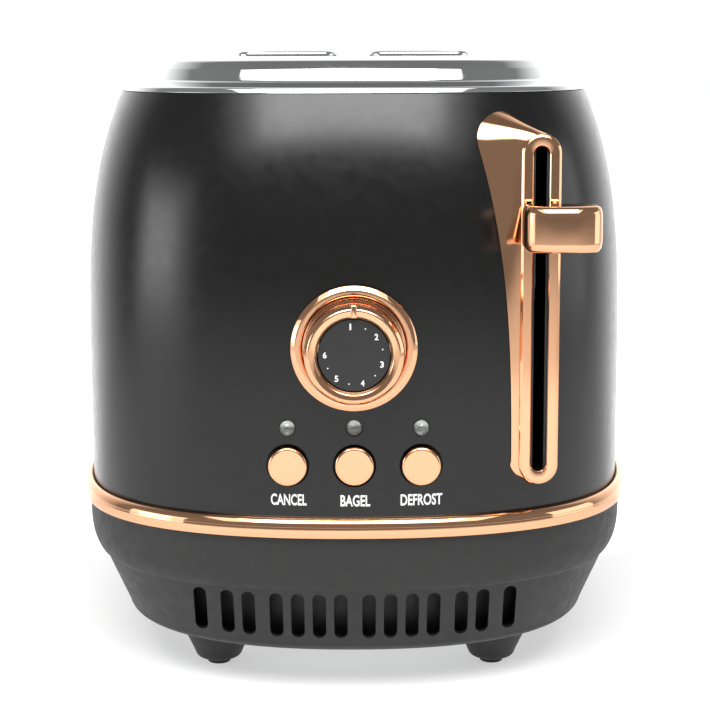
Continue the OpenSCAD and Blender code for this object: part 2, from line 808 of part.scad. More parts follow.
module tact_switches() placed() color("#404040")
    for (k = [-1 : 1]) {
        block([k * button_pitch - 3, board_y0 - 2.6, button_z - 3],
              [k * button_pitch + 3, board_y0 - 0.02, button_z + 3]);
        rod_y(k * button_pitch, button_z, 1.7, plunger_y, board_y0 - 2.5);
    }

// Fixed ring on the body: rounded lip, inner dish that the dial ring turns in
module dial_flange() placed() color(copper)
    turned_y(0, flange_back_y, dial_z) {
        difference() {
            translate([5.2, 0]) square([flange_r - 5.2, 3.1]);
            translate([5, 1]) square([11.3, 5]);
            translate([flange_r, 3.1]) rotate(45) square(1.6, center = true);
            translate([16.3, 3.1]) rotate(45) square(1.4, center = true);
        }
        translate([16.6, -3]) square([dial_hole_r - 0.1 - 16.6, 3.1]);
    }

hub_r = 4.9;
shaft_r = 3;

// Turning ring with its pointer rib, web and hub
module dial_ring() placed() color(copper)
    difference() {
        union() {
            turned_y(0, ring_y, dial_z)
                polygon([[11.5, -1.2], [12.6, -0.2], [13.8, 0], [14.8, -0.5],
                         [ring_r, -2.2], [ring_r, -14.7], [shaft_r + 0.03, -14.7],
                         [shaft_r + 0.03, -11.4], [hub_r, -11.4], [hub_r, -13.5],
                         [11.5, -13.5]]);
            block([-0.9, ring_y - 0.5, dial_z + 11.8], [0.9, ring_y + 6, dial_z + ring_r + 0.2]);
        }
        rod_y(0, dial_z, shaft_r + 0.03, -170, -140);
    }

// Number disc, held still by a post through the hollow shaft
module dial_face() placed() color("#1d1d1f") {
    turned_y(0, ring_y + 1.4, dial_z)
        polygon([[0, -3], [11.2, -3], [11.2, -0.3], [10.9, 0], [0, 0]]);
    rod_y(0, dial_z, 1.5, ring_y + 3, board_y0 + 1);
}

// Potentiometer: body on the board, hollow shaft turning in its collar
module potentiometer_shaft() placed() color("#c9c9c4")
    turned_y(0, -140.2, dial_z)
        translate([1.7, 0]) square([shaft_r - 1.7, 12]);

module potentiometer_body() placed() color("#35363a")
    difference() {
        union() {
            rod_y(0, dial_z, 8.5, -140.1, board_y0 - 0.02);
            rod_y(0, dial_z, 4.6, -144.5, -140);
        }
        rod_y(0, dial_z, shaft_r + 0.05, -150, -139.8);
        rod_y(0, dial_z, 1.8, -150, -125);
    }

// Clear lamp with a domed tip and two legs to the board
module indicator(k) placed() color("#cfd2cf") {
    turned_y(k * button_pitch, led_tip_y + led_r, led_z)
        intersection() {
            union() {
                circle(led_r);
                translate([0, -8.4]) square([led_r, 8.4]);
            }
            translate([0, -20]) square(40);
        }
    for (x = [-1.27, 1.27])
        block([k * button_pitch + x - 0.25, -137.8, led_z - 0.25],
              [k * button_pitch + x + 0.25, board_y0 - 0.05, led_z + 0.25]);
}
module indicator_cancel() indicator(-1);
module indicator_bagel() indicator(0);
module indicator_defrost() indicator(1);

// Flat-faced push button with a rounded edge, retaining flange and snap stem
module button(k) placed() color(copper)
    turned_y(k * button_pitch, button_front_y, button_z)
        polygon([[0, 0], [button_r - 1.2, 0], [button_r - 0.35, -0.35],
                 [button_r, -1.2], [button_r, -5.4], [7.6, -5.4], [7.6, -6.2],
                 [stem_r, -6.2], [stem_r, -10.2], [3.9, -10.2], [3.9, -11],
                 [stem_r, -11], [stem_r, -11.6], [0, -11.6]]);
module button_cancel() button(-1);
module button_bagel() button(0);
module button_defrost() button(1);

// Grommet that the mains lead leaves through
module cord_gland() placed() color("#171717")
    at_gland() difference() {
        union() {
            translate([0, 0, -3.8]) cylinder(h = 3.5, r1 = 5.6, r2 = 7.4);
            translate([0, 0, -1]) cylinder(h = 7.5, r = gland_r);
        }
        translate([0, 0, -10]) cylinder(h = 30, r = 3.4);
    }

base_housing();
bottom_plate();
foot_front_left();
foot_front_right();
foot_rear_left();
foot_rear_right();
base_screws();
body_shell();
trim_band();
top_cover();
slot_collar_left();
slot_collar_right();
crumb_tray();
tray_handle();
tray_rails();
chassis_pan();
front_frame();
rear_frame();
heat_shield_left();
heat_shield_right();
element_card_left();
element_card_centre();
element_card_right();
heating_ribbon_left();
heating_ribbon_centre();
heating_ribbon_right();
bread_guard_left_outer();
bread_guard_left_inner();
bread_guard_right_inner();
bread_guard_right_outer();
bread_rack_left();
bread_rack_right();
carriage_bracket();
carriage_bushing();
armature_plate();
lever_arm();
lever_knob();
lever_escutcheon();
slot_seal();
guide_rod();
rod_bracket();
lift_spring();
magnet_core();
magnet_coil();
switch_contacts();
control_carrier();
control_board();
tact_switches();
dial_flange();
dial_ring();
dial_face();
potentiometer_body();
potentiometer_shaft();
indicator_cancel();
indicator_bagel();
indicator_defrost();
button_cancel();
button_bagel();
button_defrost();
cord_gland();
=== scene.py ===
"""Visual model of a two-slice pop-up toaster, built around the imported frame.

The frame is in metres, +Z up, with the control end towards -Y. Shapes are worked out in millimetres
from the middle of the casing, and at() turns them into frame coordinates.
"""
import math

import bmesh
import bpy
import numpy as np
from mathutils import Matrix, Vector


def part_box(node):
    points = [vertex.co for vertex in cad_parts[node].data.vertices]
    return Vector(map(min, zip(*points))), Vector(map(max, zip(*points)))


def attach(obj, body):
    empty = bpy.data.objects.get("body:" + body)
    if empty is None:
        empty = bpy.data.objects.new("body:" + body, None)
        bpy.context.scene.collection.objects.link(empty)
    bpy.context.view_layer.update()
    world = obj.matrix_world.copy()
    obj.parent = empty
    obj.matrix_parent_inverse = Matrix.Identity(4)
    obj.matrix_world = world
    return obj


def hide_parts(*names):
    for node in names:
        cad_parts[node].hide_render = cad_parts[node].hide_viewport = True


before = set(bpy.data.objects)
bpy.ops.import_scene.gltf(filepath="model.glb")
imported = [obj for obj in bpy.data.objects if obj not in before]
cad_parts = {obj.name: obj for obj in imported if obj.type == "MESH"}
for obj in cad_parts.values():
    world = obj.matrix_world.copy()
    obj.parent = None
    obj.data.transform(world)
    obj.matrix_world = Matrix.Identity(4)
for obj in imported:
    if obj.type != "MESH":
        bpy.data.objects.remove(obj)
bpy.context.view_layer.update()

MM = 0.001


# ---------- sizes taken from the frame ----------

def box_mm(node):
    """Lowest and highest corner of a CAD node in casing millimetres."""
    low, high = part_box(node)
    shift = Vector((0, CASING_Y, 0))
    return (Vector(low) - shift) / MM, (Vector(high) - shift) / MM


CASING_Y = (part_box("trim_band")[0][1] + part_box("trim_band")[1][1]) / 2
BAND_LOW, BAND_HIGH = box_mm("trim_band")
HALF_W = BAND_HIGH.x
HALF_L = BAND_HIGH.y
BASE_Z = box_mm("bottom_plate")[0].z
BASE_TOP_Z = box_mm("base_housing")[1].z
BODY_LOW_Z = box_mm("body_shell")[0].z
BODY_TOP_Z = box_mm("body_shell")[1].z
COVER_TOP_Z = box_mm("top_cover")[1].z
COLLAR_LOW, COLLAR_HIGH = box_mm("slot_collar_right")
SLOT_X = (COLLAR_LOW.x + COLLAR_HIGH.x) / 2
DIAL_LOW, DIAL_HIGH = box_mm("dial_flange")
DIAL_Z = (DIAL_LOW.z + DIAL_HIGH.z) / 2
FLANGE_R = (DIAL_HIGH.z - DIAL_LOW.z) / 2
SEAL_LOW, SEAL_HIGH = box_mm("slot_seal")
LEVER_X = (SEAL_LOW.x + SEAL_HIGH.x) / 2

# Plan outline: |x / half width| ** P + |y / half length| ** Q = 1
PLAN_P = 2.2
PLAN_Q = 4.8
AROUND = 336

# Body: inset of its sides, and how far it draws in above the shoulder
BODY_INSET = 3.1
SHOULDER_INSET = 12.8
SHOULDER_Z = 90
SHOULDER_POWER = 3.8

# Base: inset of the bulge above the crease and of the slanted drum below it
CREASE_Z = 39
BULGE_INSET = 1.9
BULGE_DRAW = 2.8
DRUM_INSET = 5.9
DRUM_TOP_Z = CREASE_Z - 0.8
DRUM_FLARE = 8.3
DRUM_DROP = 20.2


def at(x, y, z):
    """Casing millimetres to a frame point in metres."""
    return (x * MM, y * MM + CASING_Y, z * MM)


# ---------- plan outline ----------

def outline(angles, inset, side_inset=None):
    """Points of the plan outline in these directions, found by bisection on the radius.

    side_inset is the inset across the width, where it differs from the inset along the length.
    """
    half_w = HALF_W - (inset if side_inset is None else side_inset)
    c, s = np.cos(angles), np.sin(angles)
    low, high = np.zeros_like(angles), np.full_like(angles, 2 * HALF_L)
    for _ in range(44):
        middle = (low + high) / 2
        reach = (np.abs(middle * c) / half_w) ** PLAN_P
        reach += (np.abs(middle * s) / (HALF_L - inset)) ** PLAN_Q
        low = np.where(reach < 1, middle, low)
        high = np.where(reach < 1, high, middle)
    return np.stack([low * c, low * s], axis=1)


def even_directions(count):
    """Directions that cut the outline into equal steps."""
    dense = np.linspace(0, 2 * math.pi, 7201)
    points = outline(dense, 0)
    run = np.concatenate([[0], np.cumsum(np.hypot(*np.diff(points, axis=0).T))])
    return np.interp(np.linspace(0, run[-1], count, endpoint=False), run, dense)


DIRECTIONS = even_directions(AROUND)


def plan_ring(z, inset, side_inset=None):
    """Plan outline at height z."""
    points = outline(DIRECTIONS, inset, side_inset)
    return [(x, y, z) for x, y in points]


def end_face(x, inset):
    """Distance from the middle to the end face at x."""
    return (HALF_L - inset) * (1 - (abs(x) / (HALF_W - inset)) ** PLAN_P) ** (1 / PLAN_Q)


def body_inset(z):
    """Inset of the body: upright sides that draw in above the shoulder."""
    rise = max(0, z - SHOULDER_Z) / (BODY_TOP_Z - SHOULDER_Z)
    return BODY_INSET + SHOULDER_INSET * rise ** SHOULDER_POWER


def base_inset(z):
    """Inset of the base: bulge above the crease, slanted drum below it."""
    if z >= CREASE_Z:
        return BULGE_INSET + BULGE_DRAW * ((BASE_TOP_Z - z) / (BASE_TOP_Z - CREASE_Z)) ** 4
    return DRUM_INSET + DRUM_FLARE * (DRUM_TOP_Z - z) / DRUM_DROP


# ---------- mesh building ----------

def rounded(points, closed=False, steps=5):
    """Polyline through (a, b) or (a, b, radius) points, with an arc at each point that has a radius."""
    result = []
    count = len(points)
    for i, point in enumerate(points):
        here = Vector(point[:2])
        radius = point[2] if len(point) > 2 else 0
        if radius == 0 or (not closed and i in (0, count - 1)):
            result.append(tuple(here))
            continue
        back = (Vector(points[i - 1][:2]) - here).normalized()
        ahead = (Vector(points[(i + 1) % count][:2]) - here).normalized()
        half = back.angle(ahead) / 2
        centre = here + (back + ahead).normalized() * (radius / math.sin(half))
        reach = radius / math.tan(half)
        start, end = here + back * reach - centre, here + ahead * reach - centre
        turn = start.angle_signed(end)
        for k in range(steps + 1):
            arm = start.copy()
            arm.rotate(Matrix.Rotation(-turn * k / steps, 2))
            result.append(tuple(centre + arm))
    return result


def mesh_from(name, points, faces):
    """Closed mesh in frame metres with its faces turned outwards."""
    mesh = bpy.data.meshes.new(name)
    mesh.from_pydata([at(*p) for p in points], [], faces)
    bm = bmesh.new()
    bm.from_mesh(mesh)
    bmesh.ops.remove_doubles(bm, verts=bm.verts, dist=1e-7)
    bmesh.ops.dissolve_degenerate(bm, dist=1e-8, edges=bm.edges)
    bmesh.ops.recalc_face_normals(bm, faces=bm.faces)
    bm.to_mesh(mesh)
    bm.free()
    return mesh


def skin(name, rings, loop=False, caps=False):
    """Skin over rings of equal point count: loop joins the last ring to the first, caps closes both ends."""
    n, m = len(rings[0]), len(rings)
    points = [p for ring in rings for p in ring]
    faces = []
    for k in range(m if loop else m - 1):
        a, b = k * n, (k + 1) % m * n
        for i in range(n):
            j = (i + 1) % n
            faces.append((a + i, a + j, b + j, b + i))
    if caps:
        faces.append(tuple(range(n - 1, -1, -1)))
        faces.append(tuple((m - 1) * n + i for i in range(n)))
    return mesh_from(name, points, faces)


def turned(name, profile, centre, steps=96):
    """Piece turned about an axis along Y; profile is (radius, distance towards the viewer)."""
    x, y, z = centre
    rings = []
    for r, ahead in profile:
        turn = [2 * math.pi * k / steps for k in range(steps)]
        rings.append([(x + r * math.cos(a), y - ahead, z + r * math.sin(a)) for a in turn])
    return skin(name, rings, loop=True)


def turned_z(name, profile, centre, steps=64):
    """Piece turned about an axis along Z; profile is (radius, height)."""
    x, y, z = centre
    rings = []
    for r, up in profile:
        turn = [2 * math.pi * k / steps for k in range(steps)]
        rings.append([(x + r * math.cos(a), y + r * math.sin(a), z + up) for a in turn])
    return skin(name, rings, loop=True)


def round_rect(half_a, half_b, radius, corner=10):
    """Rectangle with round corners as (a, b) points, anticlockwise."""
    points = []
    for k, (sa, sb) in enumerate(((1, 1), (-1, 1), (-1, -1), (1, -1))):
        for i in range(corner + 1):
            turn = math.pi / 2 * (k + i / corner)
            points.append((sa * (half_a - radius) + radius * math.cos(turn),
                           sb * (half_b - radius) + radius * math.sin(turn)))
    return points


def joined(name, meshes):
    """One mesh out of several."""
    bm = bmesh.new()
    for mesh in meshes:
        bm.from_mesh(mesh)
        bpy.data.meshes.remove(mesh)
    result = bpy.data.meshes.new(name)
    bm.to_mesh(result)
    bm.free()
    return result


def boolean(mesh, tool, operation):
    """mesh after an exact boolean with the tool mesh; both are used up."""
    pair = [bpy.data.objects.new("tmp", m) for m in (mesh, tool)]
    for o in pair:
        bpy.context.scene.collection.objects.link(o)
    cut = pair[0].modifiers.new("cut", "BOOLEAN")
    cut.operation = operation
    cut.solver = "EXACT"
    cut.object = pair[1]
    graph = bpy.context.evaluated_depsgraph_get()
    result = bpy.data.meshes.new_from_object(pair[0].evaluated_get(graph))
    name = mesh.name
    for o in pair:
        bpy.data.objects.remove(o)
    for m in (mesh, tool):
        bpy.data.meshes.remove(m)
    result.name = name
    return result


OUTLINE_TOLERANCE = 0.006
FACING_TOLERANCE = 0.99
INSET_SAMPLES = 1200


def true_normals(mesh, inset_at):
    """Corner normals of a lofted skin from its formula, so that cut openings leave no shading marks."""
    count = len(mesh.loops)
    corner = np.empty(count * 3, dtype=np.float32)
    mesh.corner_normals.foreach_get("vector", corner)
    corner = corner.reshape(-1, 3).astype(float)
    place = np.empty(len(mesh.vertices) * 3)
    mesh.vertices.foreach_get("co", place)
    index = np.empty(count, dtype=np.int64)
    mesh.loops.foreach_get("vertex_index", index)
    place = (place.reshape(-1, 3)[index] - (0, CASING_Y, 0)) / MM
    heights = np.linspace(place[:, 2].min(), place[:, 2].max(), INSET_SAMPLES)
    insets = np.array([inset_at(z) for z in heights])
    slopes = np.gradient(insets, heights)
    inset = np.interp(place[:, 2], heights, insets)
    slope = np.interp(place[:, 2], heights, slopes)
    w, l = HALF_W - inset, HALF_L - inset
    x, y = place[:, 0], place[:, 1]
    ax, ay = np.abs(x), np.abs(y)
    value = (ax / w) ** PLAN_P + (ay / l) ** PLAN_Q
    gx = PLAN_P * np.sign(x) * ax ** (PLAN_P - 1) / w ** PLAN_P
    gy = PLAN_Q * np.sign(y) * ay ** (PLAN_Q - 1) / l ** PLAN_Q
    gz = slope * (PLAN_P * ax ** PLAN_P / w ** (PLAN_P + 1) + PLAN_Q * ay ** PLAN_Q / l ** (PLAN_Q + 1))
    exact = np.stack([gx, gy, gz], axis=1)
    exact /= np.linalg.norm(exact, axis=1)[:, None]
    faces = np.empty(len(mesh.polygons) * 3)
    mesh.polygons.foreach_get("normal", faces)
    sides = np.empty(len(mesh.polygons), dtype=np.int64)
    mesh.polygons.foreach_get("loop_total", sides)
    face = np.repeat(faces.reshape(-1, 3), sides, axis=0)
    near_outline = np.abs(value - 1) < OUTLINE_TOLERANCE
    on_skin = near_outline & ((face * exact).sum(axis=1) > FACING_TOLERANCE)
    corner[on_skin] = exact[on_skin]
    mesh.normals_split_custom_set(corner.tolist())


def piece(name, mesh, paint, body, replaces=(), sharp=35, smooth=True):
    """Object for a mesh: material, body and the CAD nodes that it stands for."""
    obj = bpy.data.objects.new(name, mesh)
    bpy.context.scene.collection.objects.link(obj)
    mesh.materials.clear()
    mesh.materials.append(paint)
    if smooth:
        mesh.shade_smooth()
        mesh.set_sharp_from_angle(angle=math.radians(sharp))
    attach(obj, body)
    if replaces:
        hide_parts(*replaces)
    return obj


# ---------- materials ----------

def texture(tree, kind, scale, stretch=(1, 1, 1), **settings):
    """Factor of a procedural texture in the frame's own coordinates; scale is in cycles per metre."""
    place = tree.nodes.new("ShaderNodeTexCoord")
    mapping = tree.nodes.new("ShaderNodeMapping")
    mapping.inputs["Scale"].default_value = stretch
    tree.links.new(place.outputs["Object"], mapping.inputs["Vector"])
    node = tree.nodes.new(kind)
    node.inputs["Scale"].default_value = scale
    for key, value in settings.items():
        if key in node.inputs:
            node.inputs[key].default_value = value
        else:
            setattr(node, key, value)
    tree.links.new(mapping.outputs["Vector"], node.inputs["Vector"])
    return node.outputs["Distance" if kind == "ShaderNodeTexVoronoi" else "Fac"]


def ranged(tree, factor, low, high, start=0.3, end=0.7):
    """factor between start and end, spread over low to high."""
    node = tree.nodes.new("ShaderNodeMapRange")
    for key, value in (("From Min", start), ("From Max", end), ("To Min", low), ("To Max", high)):
        node.inputs[key].default_value = value
    tree.links.new(factor, node.inputs["Value"])
    return node.outputs["Result"]


def mixed(tree, factor, first, second):
    """Colour between two colours or sockets."""
    node = tree.nodes.new("ShaderNodeMix")
    node.data_type = "RGBA"
    tree.links.new(factor, node.inputs[0])
    for socket, value in ((node.inputs[6], first), (node.inputs[7], second)):
        if isinstance(value, tuple):
            socket.default_value = (*value, 1)
        else:
            tree.links.new(value, socket)
    return node.outputs[2]


def bumped(tree, shader, height, depth):
    """Bump of depth metres on the shader."""
    node = tree.nodes.new("ShaderNodeBump")
    node.inputs["Distance"].default_value = depth
    tree.links.new(height, node.inputs["Height"])
    tree.links.new(node.outputs["Normal"], shader.inputs["Normal"])


def combined(tree, operation, first, second):
    """Result of a math node on two sockets."""
    node = tree.nodes.new("ShaderNodeMath")
    node.operation = operation
    tree.links.new(first, node.inputs[0])
    tree.links.new(second, node.inputs[1])
    return node.outputs["Value"]


def new_material(name, **sockets):
    """Principled material with constants set on its sockets: (material, tree, shader)."""
    material = bpy.data.materials.new(name)
    material.use_nodes = True
    tree = material.node_tree
    shader = tree.nodes["Principled BSDF"]
    for key, value in sockets.items():
        socket = shader.inputs[key.replace("_", " ").title().replace("Ior", "IOR")]
        socket.default_value = (*value, 1) if isinstance(value, tuple) else value
    return material, tree, shader


ROUGH_SCALE = 260


def finish(name, colour, drift, roughness, grain, patch=30, **sockets):
    """Surface whose colour drifts between two tints in patches, with varied roughness and a fine grain.

    roughness is (lowest, highest), and grain is (cycles per metre, depth in metres).
    """
    material, tree, shader = new_material(name, **sockets)
    noise = "ShaderNodeTexNoise"
    patches = texture(tree, noise, patch, Detail=4.0)
    tree.links.new(mixed(tree, ranged(tree, patches, 0, 1), colour, drift), shader.inputs["Base Color"])
    spots = texture(tree, noise, ROUGH_SCALE, Detail=3.0)
    tree.links.new(ranged(tree, spots, *roughness), shader.inputs["Roughness"])
    bumped(tree, shader, texture(tree, noise, grain[0], Detail=3.0), grain[1])
    return material


def brushed_steel(name, colour, drift, roughness, stretch):
    """Sheet metal with fine rolling marks along one direction."""
    material, tree, shader = new_material(name, metallic=1.0)
    spangle = ranged(tree, texture(tree, "ShaderNodeTexVoronoi", 130), 0, 1, 0.1, 0.6)
    tree.links.new(mixed(tree, spangle, colour, drift), shader.inputs["Base Color"])
    marks = texture(tree, "ShaderNodeTexNoise", 900, stretch=stretch, Detail=4.0)
    tree.links.new(ranged(tree, marks, *roughness), shader.inputs["Roughness"])
    bumped(tree, shader, marks, 0.00003)
    return material


def mica_sheet():
    """Pressed mica: overlapping flakes with a soft sheen."""
    material, tree, shader = new_material("mica", sheen_weight=0.2)
    flakes = texture(tree, "ShaderNodeTexVoronoi", 220, feature="F1")
    cloudy = texture(tree, "ShaderNodeTexNoise", 60, Detail=5.0)
    tint = mixed(tree, ranged(tree, flakes, 0, 1, 0.0, 0.9), (0.60, 0.48, 0.30), (0.42, 0.31, 0.17))
    colour = mixed(tree, ranged(tree, cloudy, 0, 0.5), tint, (0.30, 0.21, 0.11))
    tree.links.new(colour, shader.inputs["Base Color"])
    tree.links.new(ranged(tree, flakes, 0.25, 0.5), shader.inputs["Roughness"])
    bumped(tree, shader, flakes, 0.00006)
    return material


def winding():
    """Lacquered copper winding in level turns, with painted shade in the grooves between turns and a painted
    highlight on their crests.
    """
    material, tree, shader = new_material("coil_copper", metallic=0.7, coat_weight=0.6, coat_roughness=0.15)
    turns = texture(tree, "ShaderNodeTexWave", 450, bands_direction="Z", Distortion=0.4)
    # Painted shade and highlight: the colour runs from dark brown in the grooves between turns to bright
    # copper on their crests
    tree.links.new(mixed(tree, turns, (0.30, 0.11, 0.04), (0.75, 0.36, 0.16)), shader.inputs["Base Color"])
    tree.links.new(ranged(tree, turns, 0.45, 0.25), shader.inputs["Roughness"])
    bumped(tree, shader, turns, 0.00015)
    return material


def circuit_board():
    """Green solder mask over faint tracks."""
    material, tree, shader = new_material("board", coat_weight=0.4, coat_roughness=0.2)
    tracks = texture(tree, "ShaderNodeTexWave", 160, bands_direction="X", Distortion=9.0)
    weave = texture(tree, "ShaderNodeTexNoise", 1400, Detail=2.0)
    green = mixed(tree, ranged(tree, tracks, 0, 1, 0.45, 0.55), (0.012, 0.075, 0.03), (0.03, 0.15, 0.06))
    colour = mixed(tree, ranged(tree, weave, 0, 0.3), green, (0.05, 0.12, 0.05))
    tree.links.new(colour, shader.inputs["Base Color"])
    tree.links.new(ranged(tree, weave, 0.35, 0.5), shader.inputs["Roughness"])
    bumped(tree, shader, tracks, 0.00004)
    return material


def wire_metal():
    """Bright drawn wire with a straw heat tint in patches."""
    material, tree, shader = new_material("guard_wire", metallic=1.0)
    heat = texture(tree, "ShaderNodeTexNoise", 22, Detail=3.0)
    colour = mixed(tree, ranged(tree, heat, 0, 1, 0.42, 0.7), (0.62, 0.62, 0.63), (0.50, 0.42, 0.30))
    tree.links.new(colour, shader.inputs["Base Color"])
    draw = texture(tree, "ShaderNodeTexNoise", 1200, stretch=(1, 1, 0.1), Detail=2.0)
    tree.links.new(ranged(tree, draw, 0.12, 0.26), shader.inputs["Roughness"])
    bumped(tree, shader, draw, 0.00001)
    return material


def clear_lens():
    """Clear moulded lamp body, barely hazy."""
    material, tree, shader = new_material(
        "clear_lens", base_color=(0.93, 0.95, 0.93), transmission_weight=1.0, ior=1.49)
    haze = texture(tree, "ShaderNodeTexNoise", 700, Detail=2.0)
    tree.links.new(ranged(tree, haze, 0.02, 0.07), shader.inputs["Roughness"])
    bumped(tree, shader, haze, 0.00001)
    return material


COPPER = finish("copper_plate", (0.84, 0.468, 0.275), (0.81, 0.445, 0.257), (0.055, 0.085), (110, 0.000006),
                patch=16, metallic=1.0)
PAINT = finish("body_paint", (0.0036, 0.0036, 0.0036), (0.0052, 0.0052, 0.0051), (0.20, 0.26),
               (1700, 0.000007), patch=12, specular_ior_level=0.45)
PLASTIC = finish("base_plastic", (0.0105, 0.0105, 0.0103), (0.0125, 0.0125, 0.0122), (0.50, 0.62),
                 (2600, 0.00004), patch=20)
DARK = finish("dark_plastic", (0.013, 0.013, 0.014), (0.020, 0.020, 0.021), (0.42, 0.56), (2200, 0.00003))
DISC = finish("dial_disc", (0.012, 0.012, 0.0125), (0.016, 0.016, 0.016), (0.40, 0.5), (2600, 0.00002))
CHROME = finish("chrome_sheet", (0.80, 0.805, 0.81), (0.77, 0.775, 0.785), (0.035, 0.07), (60, 0.000004),
                patch=14, metallic=1.0)
RUBBER = finish("rubber", (0.018, 0.018, 0.018), (0.028, 0.027, 0.026), (0.7, 0.85), (1500, 0.00005))
BUSHING = finish("bushing_plastic", (0.70, 0.66, 0.56), (0.62, 0.58, 0.47), (0.3, 0.42), (900, 0.00002),
                 subsurface_weight=0.1)
RIBBON = finish("heating_alloy", (0.36, 0.33, 0.30), (0.20, 0.16, 0.15), (0.35, 0.6), (1300, 0.00002),
                patch=90, metallic=0.9)
PRINT = finish("print_white", (0.80, 0.80, 0.80), (0.70, 0.71, 0.71), (0.4, 0.5), (1500, 0.00001), patch=300)
REFLECTOR = finish("lamp_cup", (0.62, 0.63, 0.62), (0.40, 0.41, 0.40), (0.15, 0.3), (900, 0.00002),
                   patch=500, metallic=0.9)
STEEL = brushed_steel("zinc_steel", (0.60, 0.61, 0.62), (0.46, 0.47, 0.49), (0.28, 0.46), (1, 0.06, 1))
MICA = mica_sheet()
COIL = winding()
BOARD = circuit_board()
WIRE = wire_metal()
LENS = clear_lens()

# CAD nodes that keep their shape, by the material each one gets
CARRIED = {
    STEEL: ["bottom_plate", "base_screws", "crumb_tray", "tray_rails", "chassis_pan", "front_frame",
            "rear_frame", "heat_shield_left", "heat_shield_right", "carriage_bracket", "armature_plate",
            "lever_arm", "rod_bracket", "magnet_core", "bread_rack_left", "bread_rack_right", "lift_spring"],
    WIRE: ["bread_guard_left_outer", "bread_guard_left_inner", "bread_guard_right_inner",
           "bread_guard_right_outer", "guide_rod"],
    MICA: ["element_card_left", "element_card_centre", "element_card_right"],
    RIBBON: ["heating_ribbon_left", "heating_ribbon_centre", "heating_ribbon_right"],
    BUSHING: ["carriage_bushing", "potentiometer_shaft"],
    DARK: ["slot_seal", "potentiometer_body", "tact_switches", "switch_contacts"],
    PLASTIC: ["control_carrier"],
    COIL: ["magnet_coil"],
    BOARD: ["control_board"],
}


def carry_over():
    """Give the CAD nodes that stay visible their materials."""
    for paint, names in CARRIED.items():
        for name in names:
            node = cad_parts[name]
            for held in node.material_slots:
                held.material = paint
            if not node.material_slots:
                node.data.materials.append(paint)


# ---------- camera, light and floor ----------

LENS_MM = 93.8
SENSOR_MM = 36
CAMERA_X = 0.3
CAMERA_AHEAD = 572
CAMERA_Z = 211.6
CAMERA_PITCH = 9.42
CAMERA_ROLL = -0.2


def add_camera():
    """Camera in front of the control end, looking a little down."""
    data = bpy.data.cameras.new("camera")
    data.lens = LENS_MM
    data.sensor_width = SENSOR_MM
    camera = bpy.data.objects.new("camera", data)
    bpy.context.scene.collection.objects.link(camera)
    look = Matrix.Rotation(math.radians(90 - CAMERA_PITCH), 4, "X")
    roll = Matrix.Rotation(math.radians(CAMERA_ROLL), 4, "Z")
    camera.matrix_world = Matrix.Translation(at(CAMERA_X, -HALF_L - CAMERA_AHEAD, CAMERA_Z)) @ look @ roll
    bpy.context.scene.camera = camera


# Painted light: the floor glows near the toaster, fading over a distance in metres, and behind it, growing
# with direction
FLOOR_GLOW_NEAR = 0.50
NEAR_FADE = (0.66, 0.80)
FLOOR_GLOW_BEHIND = 1.3
FAR_FADE = (0.10, 0.75)
FLOOR_REACH = 6.0

# Glow of the room: ahead of the toaster, behind it, and the share of it that the ceiling has
ROOM_FRONT = 0.26
ROOM_BEHIND = 1.7
ROOM_FADE = (0.25, 0.90)
CEILING_SHARE = 0.75
CEILING_FADE = (0.45, 0.95)

# Soft lights: name, place, target, width and height, all in metres, and brightness
MIDDLE = (0, CASING_Y, 0.12)
LIGHTS = (
    ("overhead_wide", (-0.03, -0.84, 1.08), (-0.02, -0.12, 0.19), (1.70, 0.94), 1.7),
    ("overhead_core", (-0.02, -0.82, 1.05), (0, -0.12, 0.19), (1.08, 0.74), 7.6),
    ("left_wide", (-1.05, -0.42, 0.22), MIDDLE, (0.72, 0.50), 1.5),
    ("left_core", (-1.02, -0.41, 0.21), MIDDLE, (0.40, 0.28), 3.0),
    ("right_wide", (1.05, -0.14, 0.26), MIDDLE, (0.66, 0.50), 1.5),
)


def softbox(name, place, target, size, radiance):
    """Rectangular soft light of a given brightness, aimed at a point."""
    data = bpy.data.lights.new(name, "AREA")
    data.shape = "RECTANGLE"
    data.size, data.size_y = size
    data.energy = radiance * math.pi * size[0] * size[1]
    lamp = bpy.data.objects.new(name, data)
    bpy.context.scene.collection.objects.link(lamp)
    lamp.location = place
    lamp.rotation_euler = (Vector(target) - Vector(place)).to_track_quat("-Z", "Y").to_euler()


def add_world():
    """White room, bright behind the toaster and dimmer ahead of it and overhead."""
    world = bpy.data.worlds.new("studio")
    bpy.context.scene.world = world
    world.use_nodes = True
    tree = world.node_tree
    tree.nodes.clear()
    place = tree.nodes.new("ShaderNodeTexCoord")
    split = tree.nodes.new("ShaderNodeSeparateXYZ")
    tree.links.new(place.outputs["Generated"], split.inputs["Vector"])
    behind = ranged(tree, split.outputs["Y"], ROOM_FRONT, ROOM_BEHIND, *ROOM_FADE)
    low = ranged(tree, split.outputs["Z"], 1.0, CEILING_SHARE, *CEILING_FADE)
    room = tree.nodes.new("ShaderNodeBackground")
    tree.links.new(combined(tree, "MULTIPLY", behind, low), room.inputs["Strength"])
    seen = tree.nodes.new("ShaderNodeBackground")
    seen.inputs["Strength"].default_value = 1.0
    for node in (room, seen):
        node.inputs["Color"].default_value = (1, 1, 1, 1)
    path = tree.nodes.new("ShaderNodeLightPath")
    mix = tree.nodes.new("ShaderNodeMixShader")
    tree.links.new(path.outputs["Is Camera Ray"], mix.inputs["Fac"])
    tree.links.new(room.outputs["Background"], mix.inputs[1])
    tree.links.new(seen.outputs["Background"], mix.inputs[2])
    output = tree.nodes.new("ShaderNodeOutputWorld")
    tree.links.new(mix.outputs["Shader"], output.inputs["Surface"])


